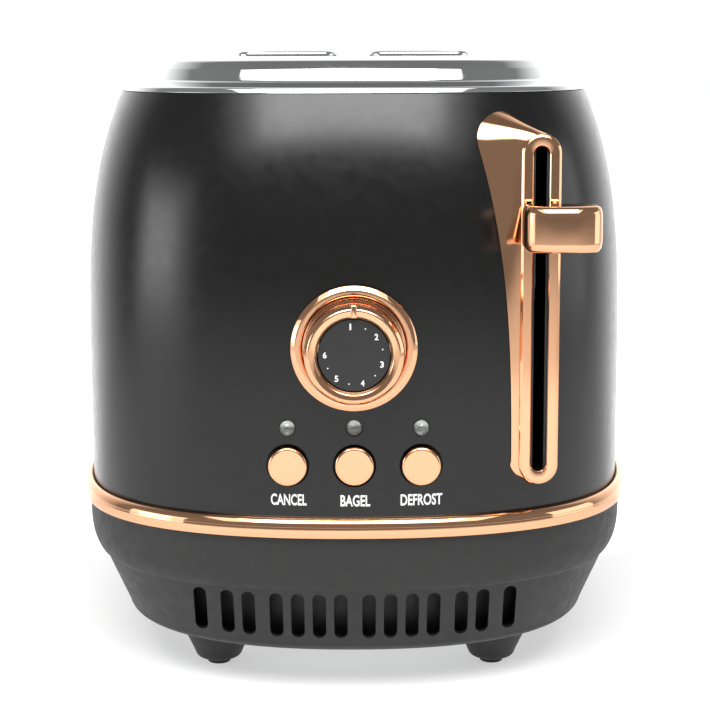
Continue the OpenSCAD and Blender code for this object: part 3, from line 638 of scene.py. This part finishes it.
def add_floor():
    """Pale floor with painted light: it glows around and behind the toaster, and stays dim in front of it and
    far to the sides.
    """
    material, tree, shader = new_material("floor", roughness=0.9, specular_ior_level=0.1)
    cloud = texture(tree, "ShaderNodeTexNoise", 3, Detail=2.0)
    colour = mixed(tree, cloud, (0.50, 0.50, 0.50), (0.53, 0.53, 0.53))
    tree.links.new(colour, shader.inputs["Base Color"])
    shader.inputs["Emission Color"].default_value = (1, 1, 1, 1)
    place = tree.nodes.new("ShaderNodeTexCoord")
    distance = tree.nodes.new("ShaderNodeVectorMath")
    distance.operation = "LENGTH"
    tree.links.new(place.outputs["Object"], distance.inputs[0])
    # Painted light: the floor's emission, strong near the toaster and fading out, and growing with direction
    # behind it
    near = ranged(tree, distance.outputs["Value"], FLOOR_GLOW_NEAR, 0.0, *NEAR_FADE)
    way = tree.nodes.new("ShaderNodeVectorMath")
    way.operation = "NORMALIZE"
    tree.links.new(place.outputs["Object"], way.inputs[0])
    split = tree.nodes.new("ShaderNodeSeparateXYZ")
    tree.links.new(way.outputs["Vector"], split.inputs["Vector"])
    behind = ranged(tree, split.outputs["Y"], 0.0, FLOOR_GLOW_BEHIND, *FAR_FADE)
    tree.links.new(combined(tree, "MAXIMUM", near, behind), shader.inputs["Emission Strength"])
    mesh = bpy.data.meshes.new("floor")
    corners = [(FLOOR_REACH * x, FLOOR_REACH * y, 0) for x, y in ((-1, -1), (1, -1), (1, 1), (-1, 1))]
    mesh.from_pydata(corners, [], [(0, 1, 2, 3)])
    floor = bpy.data.objects.new("floor", mesh)
    bpy.context.scene.collection.objects.link(floor)
    mesh.materials.append(material)


def add_studio():
    """White room, floor and soft lights: two overhead, two on the left and one on the right."""
    add_world()
    add_floor()
    scene = bpy.context.scene
    scene.view_settings.view_transform = "Standard"
    scene.view_settings.look = "None"
    for light in LIGHTS:
        softbox(*light)


# ---------- base ----------

# Vents: width, ends, spacing within a group and spacing between groups
VENT_W = 4.4
VENT_Z0 = 20.0
VENT_Z1 = 36.9
VENT_PITCH = 7.05
VENT_GAP = 9.2
FOOT_X = (box_mm("foot_front_right")[0].x + box_mm("foot_front_right")[1].x) / 2
FOOT_Y = (box_mm("foot_rear_right")[0].y + box_mm("foot_rear_right")[1].y) / 2
BASE_WALL = 2.4
DRUM_FOOT_Z = 18
DRUM_FOOT_INSET = 14.2
# Ledge inside the base, over the bottom plate
LEDGE_Z0 = 13.2
LEDGE_Z1 = 14.4
LEDGE_INSET = 30
LIP_INSET = 42
SOLE_INSET = 36
# Opening for the crumb tray's panel, at the rear
DOOR_HALF = 52
DOOR_Z0 = 41
DOOR_Z1 = 53
LINER_DEPTH = 7.0
LINER_THICK = 0.8
LINER_Z0 = 16.5
LINER_Z1 = 39.5


def vent_centres():
    """Places of the vents to one side of the middle: groups of four, two and one."""
    inner = VENT_GAP / 2
    outer = inner + 3 * VENT_PITCH + VENT_GAP
    centres = [inner + k * VENT_PITCH for k in range(4)] + [outer, outer + VENT_PITCH]
    return centres + [outer + VENT_PITCH + VENT_GAP]


def slot_prism(x, y0, y1, z0, z1, half, steps=12):
    """Upright slot with round ends, carried from y0 to y1."""
    loop = []
    for centre, start in ((z1 - half, 0), (z0 + half, math.pi)):
        for k in range(steps + 1):
            a = start + math.pi * k / steps
            loop.append((x + half * math.cos(a), centre + half * math.sin(a)))
    return skin("vent", [[(px, y, pz) for px, pz in loop] for y in (y0, y1)], caps=True)


def drum_round(a):
    """Rounded lower edge of the drum, from the underside (0) to the drum (pi / 2)."""
    return (BASE_Z + 0.7 + 5.3 * (1 - math.cos(a)), DRUM_FOOT_INSET + 15.8 * (1 - math.sin(a)))


def add_base():
    """Moulded base with its vents and foot bosses."""
    outer = [drum_round(math.pi / 2 * k / 14) for k in range(14)]
    outer += rounded([(DRUM_FOOT_Z, base_inset(DRUM_FOOT_Z)), (28, base_inset(28)),
                      (DRUM_TOP_Z, DRUM_INSET, 1.6), (CREASE_Z + 0.4, base_inset(CREASE_Z + 0.4))])
    outer += [(z, base_inset(z)) for z in np.linspace(CREASE_Z + 1, BASE_TOP_Z, 22)]
    inner = [(BASE_TOP_Z, BULGE_INSET + BASE_WALL), (46, 2.5 + BASE_WALL), (CREASE_Z, 4.7 + BASE_WALL),
             (CREASE_Z - 2, DRUM_INSET + BASE_WALL + 0.6), (DRUM_FOOT_Z, DRUM_FOOT_INSET + BASE_WALL),
             (LEDGE_Z1, LEDGE_INSET), (LEDGE_Z1, LIP_INSET), (LEDGE_Z0, LIP_INSET), (LEDGE_Z0, SOLE_INSET),
             (BASE_Z, SOLE_INSET)]
    shell = skin("base", [plan_ring(z, i) for z, i in outer + inner], loop=True)
    profile = rounded([(0, 14), (12.6, 14), (12.2, 12.6, 2), (8.6, 5.0, 6), (7.4, 1.95, 2.6), (0, 1.95)])
    for sx in (-1, 1):
        for sy in (-1, 1):
            boss = turned_z("boss", profile, (sx * FOOT_X, sy * FOOT_Y, 0))
            shell = boolean(shell, boss, "UNION")
    vents = []
    for x in vent_centres():
        for s in (-1, 1):
            for y in (-1, 1):
                vents.append(slot_prism(s * x, y * 100, y * 160, VENT_Z0, VENT_Z1, VENT_W / 2))
    shell = boolean(shell, joined("vents", vents), "DIFFERENCE")
    door = [(-DOOR_HALF, DOOR_Z0), (DOOR_HALF, DOOR_Z0), (DOOR_HALF, DOOR_Z1), (-DOOR_HALF, DOOR_Z1)]
    cutter = skin("door", [[(x, y, z) for x, z in door] for y in (125, 165)], caps=True)
    shell = boolean(shell, cutter, "DIFFERENCE")
    piece("base_shell", shell, PLASTIC, "casing", ["base_housing"], sharp=30)
    true_normals(shell, base_inset)


def add_vent_liner():
    """Dark wall a little way behind the vents at both ends."""
    half = vent_centres()[-1] + 6
    xs = np.linspace(-half, half, 61)
    walls = []
    for end in (-1, 1):
        rings = []
        for x in xs:
            ring = []
            for z, depth in ((LINER_Z0, 0), (LINER_Z1, 0), (LINER_Z1, LINER_THICK), (LINER_Z0, LINER_THICK)):
                ring.append((x, end * (end_face(x, base_inset(z) + LINER_DEPTH) - depth), z))
            rings.append(ring)
        walls.append(skin("wall", rings, caps=True))
    piece("vent_liner", joined("liner", walls), PLASTIC, "casing", sharp=35)


def add_feet():
    """Rubber pads under the bosses."""
    pad = rounded([(0, 0), (3.9, 0, 0.5), (4.25, 1.9), (3.0, 1.9), (3.0, 9), (0, 9)])
    for sy, end in ((-1, "front"), (1, "rear")):
        for sx, side in ((-1, "left"), (1, "right")):
            mesh = turned_z("pad", pad, (sx * FOOT_X, sy * FOOT_Y, 0))
            piece(f"rubber_foot_{end}_{side}", mesh, RUBBER, "casing", [f"foot_{end}_{side}"])


# ---------- body, band and cover ----------

BUTTON_LOW, BUTTON_HIGH = box_mm("button_bagel")
BUTTON_Z = (BUTTON_LOW.z + BUTTON_HIGH.z) / 2
PITCH = box_mm("button_defrost")[0].x - BUTTON_LOW.x
BUTTON_R = 6.25
BUTTON_FRONT = BUTTON_LOW.y
LED_LOW, LED_HIGH = box_mm("indicator_bagel")
LED_Z = (LED_LOW.z + LED_HIGH.z) / 2
LED_R = (LED_HIGH.z - LED_LOW.z) / 2
FUNCTIONS = ("cancel", "bagel", "defrost")
BODY_SHEET = 1.2
# Openings in the body's front
DIAL_HOLE_R = 18.6
BUTTON_GAP = 0.7
LED_GAP = 0.25
LEVER_HOLE_HALF = 3.6
LEVER_HOLE_Z0 = 76.3
LEVER_HOLE_Z1 = 181
# Round cutters run from behind the front wall to well ahead of it
HOLE_BACK_Y = -130
HOLE_LENGTH = 30


def drill(r, x, z, steps=96):
    """Cutter for a round hole through the front."""
    profile = [(0, 0), (r, 0), (r, HOLE_LENGTH), (0, HOLE_LENGTH)]
    return turned("hole", profile, (x, HOLE_BACK_Y, z), steps=steps)


def add_body():
    """Painted body with a turned-in top edge and openings for the controls."""
    heights = list(np.linspace(BODY_LOW_Z, 140, 30)) + list(np.linspace(141.5, BODY_TOP_Z - 0.5, 44))
    outer = [(z, body_inset(z)) for z in heights]
    top = body_inset(BODY_TOP_Z)
    lip = [(BODY_TOP_Z - 0.15, top - 0.02), (BODY_TOP_Z, top + 0.3), (BODY_TOP_Z, top + 0.9),
           (BODY_TOP_Z - 0.4, top + BODY_SHEET)]
    inner = [(z, body_inset(z) + BODY_SHEET) for z in np.linspace(BODY_TOP_Z - 1, BODY_LOW_Z, 24)]
    shell = skin("body", [plan_ring(z, i) for z, i in outer + lip + inner], loop=True)
    cutters = [drill(DIAL_HOLE_R, 0, DIAL_Z)]
    for k in (-1, 0, 1):
        for z, r in ((BUTTON_Z, BUTTON_R + BUTTON_GAP), (LED_Z, LED_R + LED_GAP)):
            cutters.append(drill(r, k * PITCH, z, steps=64))
    x0, x1 = LEVER_X - LEVER_HOLE_HALF, LEVER_X + LEVER_HOLE_HALF
    slot = [(x0, LEVER_HOLE_Z0), (x1, LEVER_HOLE_Z0), (x1, LEVER_HOLE_Z1), (x0, LEVER_HOLE_Z1)]
    cutters.append(skin("hole", [[(x, y, z) for x, z in slot] for y in (-150, -115)], caps=True))
    shell = boolean(shell, joined("holes", cutters), "DIFFERENCE")
    piece("body_skin", shell, PAINT, "casing", ["body_shell"], sharp=30)
    true_normals(shell, body_inset)


def add_band():
    """Copper-coloured band: a flat lower facet under a rounded shoulder."""
    z0, z1 = BAND_LOW.z, BAND_HIGH.z
    profile = rounded([(z0, 3.0), (z0, 1.3, 0.25), (z0 + 0.6, 0.35, 0.4), (z0 + 3.55, 0.0, 0.25)])
    profile += [(z1 - 3.2 + 3.2 * math.sin(a), 0.12 + 2.2 * (1 - math.cos(a)))
                for a in np.linspace(0.06, math.pi / 2, 22)]
    profile += [(z1 - 0.3, 2.75), (z1 - 1.5, 3.05)]
    mesh = skin("band", [plan_ring(z, i) for z, i in profile], loop=True)
    piece("copper_band", mesh, COPPER, "casing", ["trim_band"], sharp=40)


# The cover's insets beyond COVER_SIDE count only in part across the width, so its plateau reaches further out
COVER_SIDE = 16
COVER_SHARE = 0.70
COVER_LOW_Z = 192
PLATEAU_Z = 209
# How far the holes for the collars stay inside the collars' rims
COLLAR_LAP = 0.95


def add_cover():
    """Polished cover: flange, wall and plateau, cut for the two collars."""
    z = BODY_TOP_Z
    outer = rounded([(COVER_LOW_Z, 18.4), (z + 0.05, 18.4), (z + 0.1, 15.9, 0.1), (z + 1.75, 16.5, 1.05),
                     (200.9, 27.6, 1.3), (204.9, 29.9, 3.5), (207.7, 32.0, 2.6), (PLATEAU_Z, 37.4, 4.5),
                     (PLATEAU_Z, 46)], steps=9)
    outer = [(min(h, COVER_TOP_Z), i) for h, i in outer]
    inner = [(207.9, 46), (207.9, 37.6), (206.4, 32.6), (204.4, 31), (201, 29), (199.6, 27.4),
             (197.4, 19.2), (COVER_LOW_Z, 19.2)]
    walls = [plan_ring(h, i, COVER_SIDE + COVER_SHARE * (i - COVER_SIDE)) for h, i in outer + inner]
    n, m = AROUND, len(walls)
    top, under = len(outer) - 1, len(outer)
    faces = []
    for k in range(m):
        if k == top:
            continue
        a, b = k * n, (k + 1) % m * n
        faces += [(a + i, a + (i + 1) % n, b + (i + 1) % n, b + i) for i in range(n)]
    faces.append(tuple(top * n + i for i in range(n)))
    faces.append(tuple(under * n + i for i in range(n - 1, -1, -1)))
    cover = mesh_from("cover", [p for ring in walls for p in ring], faces)
    half_a = (COLLAR_HIGH.x - COLLAR_LOW.x) / 2 - COLLAR_LAP
    half_b = COLLAR_HIGH.y - COLLAR_LAP
    holes = []
    for s in (-1, 1):
        loop = round_rect(half_a, half_b, 4)
        holes.append(skin("hole", [[(s * SLOT_X + a, b, h) for a, b in loop] for h in (203, 215)], caps=True))
    cover = boolean(cover, joined("holes", holes), "DIFFERENCE")
    piece("chrome_cover", cover, CHROME, "casing", ["top_cover"], sharp=32)


RIM_R = 1.1
COLLAR_CORNER = 5.4


def add_collars():
    """Drawn collars with a rolled rim round each bread slot."""
    lip = (COLLAR_HIGH.x - COLLAR_LOW.x) / 2
    lip_l = COLLAR_HIGH.y
    z1 = COLLAR_HIGH.z
    r = RIM_R
    profile = [(0, z1 - 1.52), (0, z1 - r)]
    profile += [(r - r * math.cos(a), z1 - r + r * math.sin(a)) for a in np.linspace(0.1, math.pi, 15)]
    profile += [(2 * r, z1 - 3), (2 * r, COLLAR_LOW.z), (r, COLLAR_LOW.z), (r, z1 - 1.52)]
    for s, side in ((-1, "left"), (1, "right")):
        rings = []
        for inset, h in profile:
            loop = round_rect(lip - inset, lip_l - inset, max(COLLAR_CORNER - inset, 1.5), corner=14)
            rings.append([(s * SLOT_X + a, b, h) for a, b in loop])
        mesh = skin("collar", rings, loop=True)
        piece(f"chrome_collar_{side}", mesh, CHROME, "casing",
              [f"slot_collar_{side}"], sharp=40)


# ---------- dial, lamps and buttons ----------

RING_FRONT = box_mm("dial_ring")[0].y
FACE_FRONT = box_mm("dial_face")[0].y
FLANGE_BACK = DIAL_HIGH.y - 3
RIB_HALF_W = 0.9
RIB_HALF_H = 2.0
RIB_R = 13.8
DISC_R = 11.2
DOT_R = 0.22
DOT_SIDES = 14
DIGIT_R = 9.0
DIGIT_H = 1.95
DIGIT_W = 1.15
NARROW_W = 0.5
DIGIT_WEIGHT = 0.02
# Numbers and dots on the disc, with their angles clockwise from the top in degrees
SCALE_MARKS = (("1", -7), (".", 23), ("2", 50), (".", 78), ("3", 108), (".", 134),
               ("4", 163), (".", 190), ("5", 217), (".", 244), ("6", 271))


def lettering(name, text, width, height, weight):
    """Flat printed text as (x, z) points and faces, centred and fitted to a width and height."""
    curve = bpy.data.curves.new(name, "FONT")
    curve.body = text
    curve.align_x = "CENTER"
    curve.offset = weight
    curve.resolution_u = 4
    holder = bpy.data.objects.new(name, curve)
    bpy.context.scene.collection.objects.link(holder)
    graph = bpy.context.evaluated_depsgraph_get()
    mesh = bpy.data.meshes.new_from_object(holder.evaluated_get(graph))
    bpy.data.objects.remove(holder)
    bpy.data.curves.remove(curve)
    xs = [v.co.x for v in mesh.vertices]
    ys = [v.co.y for v in mesh.vertices]
    points = [((v.co.x - (min(xs) + max(xs)) / 2) / (max(xs) - min(xs)) * width,
               (v.co.y - (min(ys) + max(ys)) / 2) / (max(ys) - min(ys)) * height) for v in mesh.vertices]
    faces = [tuple(p.vertices) for p in mesh.polygons]
    bpy.data.meshes.remove(mesh)
    return points, faces


PRINT_PROUD = 0.05
PRINT_SUNK = 0.02


def print_mesh(name, prints):
    """Thin raised print; prints is a list of (points, faces, x, z, function that gives y at (x, z))."""
    meshes = []
    for points, faces, x0, z0, depth in prints:
        count = len(points)
        front = [(x0 + px, depth(x0 + px, z0 + pz) - PRINT_PROUD, z0 + pz) for px, pz in points]
        back = [(x0 + px, depth(x0 + px, z0 + pz) + PRINT_SUNK, z0 + pz) for px, pz in points]
        edges = dict.fromkeys((a, b) for face in faces for a, b in zip(face, face[1:] + face[:1]))
        rim = [(a, b) for a, b in edges if (b, a) not in edges]
        walls = [(a, b, b + count, a + count) for a, b in rim]
        under = [tuple(i + count for i in reversed(face)) for face in faces]
        meshes.append(mesh_from(name, front + back, list(faces) + under + walls))
    return joined(name, meshes)


def add_dial():
    """Fixed flange, turning ring with its pointer rib, and the number disc."""
    r = FLANGE_R
    flange = rounded([(18.4, -3), (18.4, 0), (r, 0), (r, 2.1, 0.5), (18.6, 3.1, 0.8), (16.9, 3.1, 0.5),
                      (16.3, 2.4, 0.4), (16.2, 1), (5.2, 1), (5.2, 0), (17, 0), (17, -3)], closed=True)
    piece("flange_turning", turned("flange", flange, (0, FLANGE_BACK, DIAL_Z), steps=160), COPPER, "casing",
          ["dial_flange"], sharp=40)
    ring = rounded([(11.45, -1.3, 0.3), (12.3, -0.25, 0.8), (14.3, 0, 1.0), (15.6, -1.6, 1.4),
                    (15.6, -14.4, 0.2), (3.1, -14.4), (3.1, -11.4), (4.9, -11.4), (4.9, -13.4),
                    (11.45, -13.4)], closed=True)
    front = RING_FRONT + 0.5
    mesh = turned("ring", ring, (0, front, DIAL_Z), steps=160)
    rib_loop = round_rect(RIB_HALF_W, RIB_HALF_H, 0.35, corner=4)
    rib = []
    for grow, y in ((0, front + 3), (0, front - 0.25), (-0.15, front - 0.43), (-0.35, front - 0.5)):
        wide, high = (RIB_HALF_W + grow) / RIB_HALF_W, (RIB_HALF_H + grow) / RIB_HALF_H
        rib.append([(a * wide, y, DIAL_Z + RIB_R + b * high) for a, b in rib_loop])
    mesh = joined("ring", [mesh, skin("rib", rib, caps=True)])
    piece("dial_turning", mesh, COPPER, "dial", ["dial_ring"], sharp=40)
    disc = rounded([(0, -3), (DISC_R, -3), (DISC_R, 0, 0.35), (0, 0)])
    piece("number_disc", turned("disc", disc, (0, FACE_FRONT, DIAL_Z), steps=128), DISC, "casing",
          ["dial_face"], sharp=40)
    prints = []
    for text, degrees in SCALE_MARKS:
        a = math.radians(degrees)
        x, z = DIGIT_R * math.sin(a), DIAL_Z + DIGIT_R * math.cos(a)
        if text == ".":
            turn = [2 * math.pi * k / DOT_SIDES for k in range(DOT_SIDES)]
            points = [(DOT_R * math.cos(t), DOT_R * math.sin(t)) for t in turn]
            faces = [tuple(range(DOT_SIDES))]
        else:
            width = NARROW_W if text == "1" else DIGIT_W
            points, faces = lettering("digit", text, width, DIGIT_H, DIGIT_WEIGHT)
        prints.append((points, faces, x, z, lambda px, pz: FACE_FRONT))
    piece("dial_numbers", print_mesh("numbers", prints), PRINT, "casing", smooth=False)


def add_lamps():
    """Clear domed lamps with a reflector cup inside."""
    for k, name in enumerate(FUNCTIONS):
        x = (k - 1) * PITCH
        front = LED_LOW.y
        dome = [(LED_R * math.sin(a), -LED_R + LED_R * math.cos(a)) for a in np.linspace(0, math.pi / 2, 18)]
        dome += [(LED_R, -8), (LED_R - 0.3, -10.8), (0, -10.8)]
        lens = turned("lens", dome, (x, front, LED_Z), steps=48)
        piece(f"lamp_{name}", lens, LENS, "casing", [f"indicator_{name}"], sharp=50)
        cup = [(0, -4.6), (0.9, -4.6), (1.9, -2.9), (2.05, -2.9), (2.05, -7), (0, -7)]
        inside = turned("cup", cup, (x, front, LED_Z), steps=40)
        piece(f"lamp_cup_{name}", inside, REFLECTOR, "casing", sharp=30)


def add_buttons():
    """Flat-faced copper-coloured caps on dark stems with a retaining flange and snap end."""
    end = BUTTON_LOW.y - BUTTON_HIGH.y
    joint = end + 6.6
    cap = rounded([(0, 0), (BUTTON_R - 1.1, 0), (BUTTON_R, 0, 0.85), (BUTTON_R, joint), (0, joint)], steps=8)
    stem = rounded([(0, joint), (BUTTON_R, joint), (BUTTON_R, end + 6.2), (7.6, end + 6.2, 0.15),
                    (7.6, end + 5.4, 0.15), (3, end + 5.4), (3, end + 1.4), (3.9, end + 1.4),
                    (3.9, end + 0.6, 0.2), (3, end + 0.6), (3, end), (0, end)], steps=3)
    for k, name in enumerate(FUNCTIONS):
        centre = ((k - 1) * PITCH, BUTTON_FRONT, BUTTON_Z)
        piece(f"push_{name}", turned("cap", cap, centre), COPPER, f"{name}_button",
              [f"button_{name}"], sharp=30)
        piece(f"push_stem_{name}", turned("stem", stem, centre), DARK, f"{name}_button",
              sharp=30)


# Function names: text, place across, width and height above the table
LABELS = (("CANCEL", -21.05, 11.5, 69.2), ("BAGEL", 0.25, 9.5, 69.0), ("DEFROST", 21.4, 13.4, 69.1))


LABEL_H = 3.75
LABEL_WEIGHT = 0.024


def front_of_body(x, z):
    """y of the body's front at (x, z)."""
    return -end_face(x, body_inset(z))


def add_labels():
    """Function names printed under the buttons."""
    prints = []
    for text, x, width, z in LABELS:
        points, faces = lettering("label", text, width, LABEL_H, LABEL_WEIGHT)
        prints.append((points, faces, x, z, front_of_body))
    piece("function_labels", print_mesh("labels", prints), PRINT, "casing", smooth=False)


# ---------- lever ----------

PLATE_HALF = 6.3
SLOT_HALF = 2.5
PLATE_FRONT = box_mm("lever_escutcheon")[0].y
PLATE_Z0 = 72.3
PLATE_Z1 = 185
# Round crest at the upper left, and the angles in degrees over which its arc runs
CREST_X = 47.4
CREST_Z = 183.4
CREST_R = 8.2
CREST_FROM = 62
CREST_SWEEP = 124
# Right edge of the foot: where its straight side ends and where the crest's line leaves it
RIGHT_TOP_Z = 178
RIGHT_CORNER_Z = 179.5
FOOT_FLATTEN = 0.85
# Steps in each round end and along each side of a loop
ARC = 30
SIDE = 64


def stadium(half, z0, z1):
    """Upright loop with round ends; the same point count as foot_loop."""
    loop = []
    for k in range(ARC + 1):
        a = math.pi + math.pi * k / ARC
        loop.append((LEVER_X + half * math.cos(a), z0 + half + half * math.sin(a)))
    for k in range(1, SIDE + 1):
        loop.append((LEVER_X + half, z0 + half + (z1 - z0 - 2 * half) * k / (SIDE + 1)))
    for k in range(ARC + 1):
        a = math.pi * k / ARC
        loop.append((LEVER_X + half * math.cos(a), z1 - half + half * math.sin(a)))
    for k in range(1, SIDE + 1):
        loop.append((LEVER_X - half, z1 - half - (z1 - z0 - 2 * half) * k / (SIDE + 1)))
    return loop


def flank(z):
    """How far the left flank sweeps out from the plate, growing towards the crest."""
    return 2.4 + 11.9 * (max(0, z - PLATE_Z0) / (CREST_Z - PLATE_Z0)) ** 2.9


def foot_loop(shrink):
    """Foot of the plate on the body, leaning left towards a round crest."""
    half = PLATE_HALF + 0.3 - shrink
    low = PLATE_Z0 + PLATE_HALF
    loop = []
    for k in range(ARC + 1):
        a = math.pi + math.pi * k / ARC
        lean = flank(low) * (1 - k / ARC) ** 2
        loop.append((LEVER_X + half * math.cos(a) - lean, low + FOOT_FLATTEN * half * math.sin(a)))
    for k in range(1, SIDE + 1):
        loop.append((LEVER_X + half, low + (RIGHT_TOP_Z - low) * k / (SIDE + 1)))
    loop.append((LEVER_X + half, RIGHT_CORNER_Z))
    r = CREST_R - shrink
    for k in range(ARC):
        a = math.radians(CREST_FROM + CREST_SWEEP * k / (ARC - 1))
        loop.append((CREST_X + r * math.cos(a), CREST_Z + r * math.sin(a)))
    for k in range(1, SIDE + 1):
        z = CREST_Z - 1 - (CREST_Z - 1 - low) * k / (SIDE + 1)
        loop.append((LEVER_X - PLATE_HALF - flank(z) + shrink, z))
    return loop


def blended(first, second, share):
    """Loop part of the way from one loop of 3D points to another."""
    return [tuple(Vector(a).lerp(Vector(b), share)) for a, b in zip(first, second)]


def on_body(loop, lift):
    """Upright loop laid on the body's front and lifted off it."""
    return [(x, front_of_body(x, z) - lift, z) for x, z in loop]


def level(loop, y):
    """Upright loop in one plane."""
    return [(x, y, z) for x, z in loop]


def add_escutcheon():
    """Fin-shaped plate with a bevelled edge and a slot for the lever."""
    front = PLATE_FRONT
    foot = on_body(foot_loop(0), 0.3)
    shoulder = level(stadium(PLATE_HALF, PLATE_Z0, PLATE_Z1), front + 1.0)
    loops = [foot]
    loops += [blended(foot, shoulder, share) for share in (0.2, 0.4, 0.6, 0.8)]
    loops.append(shoulder)
    for inset, y in ((0.06, 0.72), (0.75, 0.12), (1.0, 0.0)):
        loops.append(level(stadium(PLATE_HALF - inset, PLATE_Z0 + inset, PLATE_Z1 - inset), front + y))
    for grow, y in ((0.75, 0.0), (0.35, 0.08), (0.08, 0.35), (0, 0.7), (0, 1.5)):
        loops.append(level(stadium(SLOT_HALF + grow, PLATE_Z0 + 4.4 - grow, PLATE_Z1 - 4 + grow), front + y))
    loops.append(level(stadium(PLATE_HALF - 1.3, PLATE_Z0 + 1.3, PLATE_Z1 - 1.3), front + 1.6))
    loops.append(on_body(foot_loop(1.5), 0.3))
    mesh = skin("plate", loops, loop=True)
    piece("lever_plate", mesh, COPPER, "casing", ["lever_escutcheon"], sharp=24)


KNOB_LOW, KNOB_HIGH = box_mm("lever_knob")
FACET_HALF = 3.9
KNOB_EDGE = 2.9
KNOB_END = 2.4


def knob_section(x, half_a, half_b, front, back):
    """Upright section of the grip at x: faceted front, rounded edges, drawn in towards both ends."""
    beyond = max(0, abs(x) - FACET_HALF)
    crown = 0.22 * beyond + 0.038 * beyond ** 2
    into_end = max(0, KNOB_END - (half_a - abs(x)))
    draw = KNOB_END - math.sqrt(KNOB_END ** 2 - into_end ** 2)
    h = half_b - draw
    face, rear = front + crown + draw, back - draw
    section = []
    for k in range(17):
        turn = math.pi / 2 * k / 16
        section.append((face + 0.8 * KNOB_EDGE * (1 - math.sin(turn)), h - KNOB_EDGE * (1 - math.cos(turn))))
    half = section + [(y, -z) for y, z in reversed(section)]
    half += [(rear - 1.2, -h), (rear - 0.35, -h + 0.35), (rear, -h + 1.2)]
    half += [(rear, h - 1.2), (rear - 0.35, h - 0.35), (rear - 1.2, h)]
    return half


def add_knob():
    """Rounded oblong grip with a square facet in the middle of its curved front."""
    x = (KNOB_LOW.x + KNOB_HIGH.x) / 2
    z = (KNOB_LOW.z + KNOB_HIGH.z) / 2
    half_a = (KNOB_HIGH.x - KNOB_LOW.x) / 2
    half_b = (KNOB_HIGH.z - KNOB_LOW.z) / 2
    ends = [half_a - KNOB_END * (1 - math.sin(math.pi / 2 * k / 14)) for k in range(15)]
    side = [FACET_HALF] + list(np.linspace(FACET_HALF, half_a - KNOB_END, 12)[1:-1]) + ends
    loops = []
    for u in [-v for v in reversed(side)] + side:
        section = knob_section(u, half_a, half_b, KNOB_LOW.y, KNOB_HIGH.y)
        loops.append([(x + u, y, z + v) for y, v in section])
    mesh = skin("knob", loops, caps=True)
    piece("lever_grip", mesh, COPPER, "carriage", ["lever_knob"], sharp=9)


# ---------- rear ----------

PANEL_WALL = 2.6
PANEL_EDGE = 0.35
GLAND_X = -64
GLAND_Z = 29
GLAND_HEADING = 41.1
GLAND_STEPS = 56


def add_tray_handle():
    """Curved panel over the crumb tray, with a lip to pull it by."""
    low, high = box_mm("tray_handle")
    half = (high.x - low.x) / 2
    xs = np.linspace(-half, half, 49)
    z0, z1 = low.z, high.z
    heights = np.linspace(z0, z1, 9)
    rings = []
    for x in xs:
        ring = []
        for z in heights:
            edge = PANEL_EDGE if z in (z0, z1) or abs(x) >= half else 0
            ring.append((x, end_face(x, base_inset(z)) - edge, z))
        for z in reversed(heights):
            ring.append((x, end_face(x, base_inset(z)) - PANEL_WALL, z))
        rings.append(ring)
    panel = skin("panel", rings, caps=True)
    lip = []
    for y, grow in ((143.5, 0), (149.5, 0), (151.0, -0.25), (high.y, -0.7)):
        loop = round_rect(20 + grow, 1.0 + grow, 0.28)
        lip.append([(a, y, z0 + 2.0 + b) for a, b in loop])
    block = []
    for y in (low.y, 143.2):
        block.append([(a, y, (z0 + z1) / 2 - 1 + b) for a, b in round_rect(44, 3.4, 0.6)])
    mesh = joined("handle", [panel, skin("lip", lip, caps=True), skin("block", block, caps=True)])
    piece("tray_front", mesh, PLASTIC, "tray", ["tray_handle"], sharp=35)


def add_gland():
    """Grommet for the mains lead, square to the slanted drum."""
    place = Vector((GLAND_X, end_face(GLAND_X, base_inset(GLAND_Z)), GLAND_Z))
    tilt = math.pi / 2 - math.atan(DRUM_FLARE / DRUM_DROP)
    turn = Matrix.Rotation(math.radians(GLAND_HEADING), 4, "Z") @ Matrix.Rotation(tilt, 4, "X")
    profile = rounded([(3.4, -3.8, 0.3), (5.6, -3.8, 0.6), (7.3, -0.9, 0.4), (7.3, -0.3), (5.35, -0.3),
                       (5.35, 6.4, 0.4), (3.4, 6.4, 0.3)], closed=True)
    rings = []
    for r, up in profile:
        ring = []
        for k in range(GLAND_STEPS):
            a = 2 * math.pi * k / GLAND_STEPS
            ring.append(tuple(place + turn @ Vector((r * math.cos(a), r * math.sin(a), up))))
        rings.append(ring)
    piece("lead_grommet", skin("gland", rings, loop=True), RUBBER, "casing", ["cord_gland"])


add_camera()
add_studio()
carry_over()
add_base()
add_vent_liner()
add_feet()
add_body()
add_band()
add_cover()
add_collars()
add_dial()
add_lamps()
add_buttons()
add_labels()
add_escutcheon()
add_knob()
add_tray_handle()
add_gland()
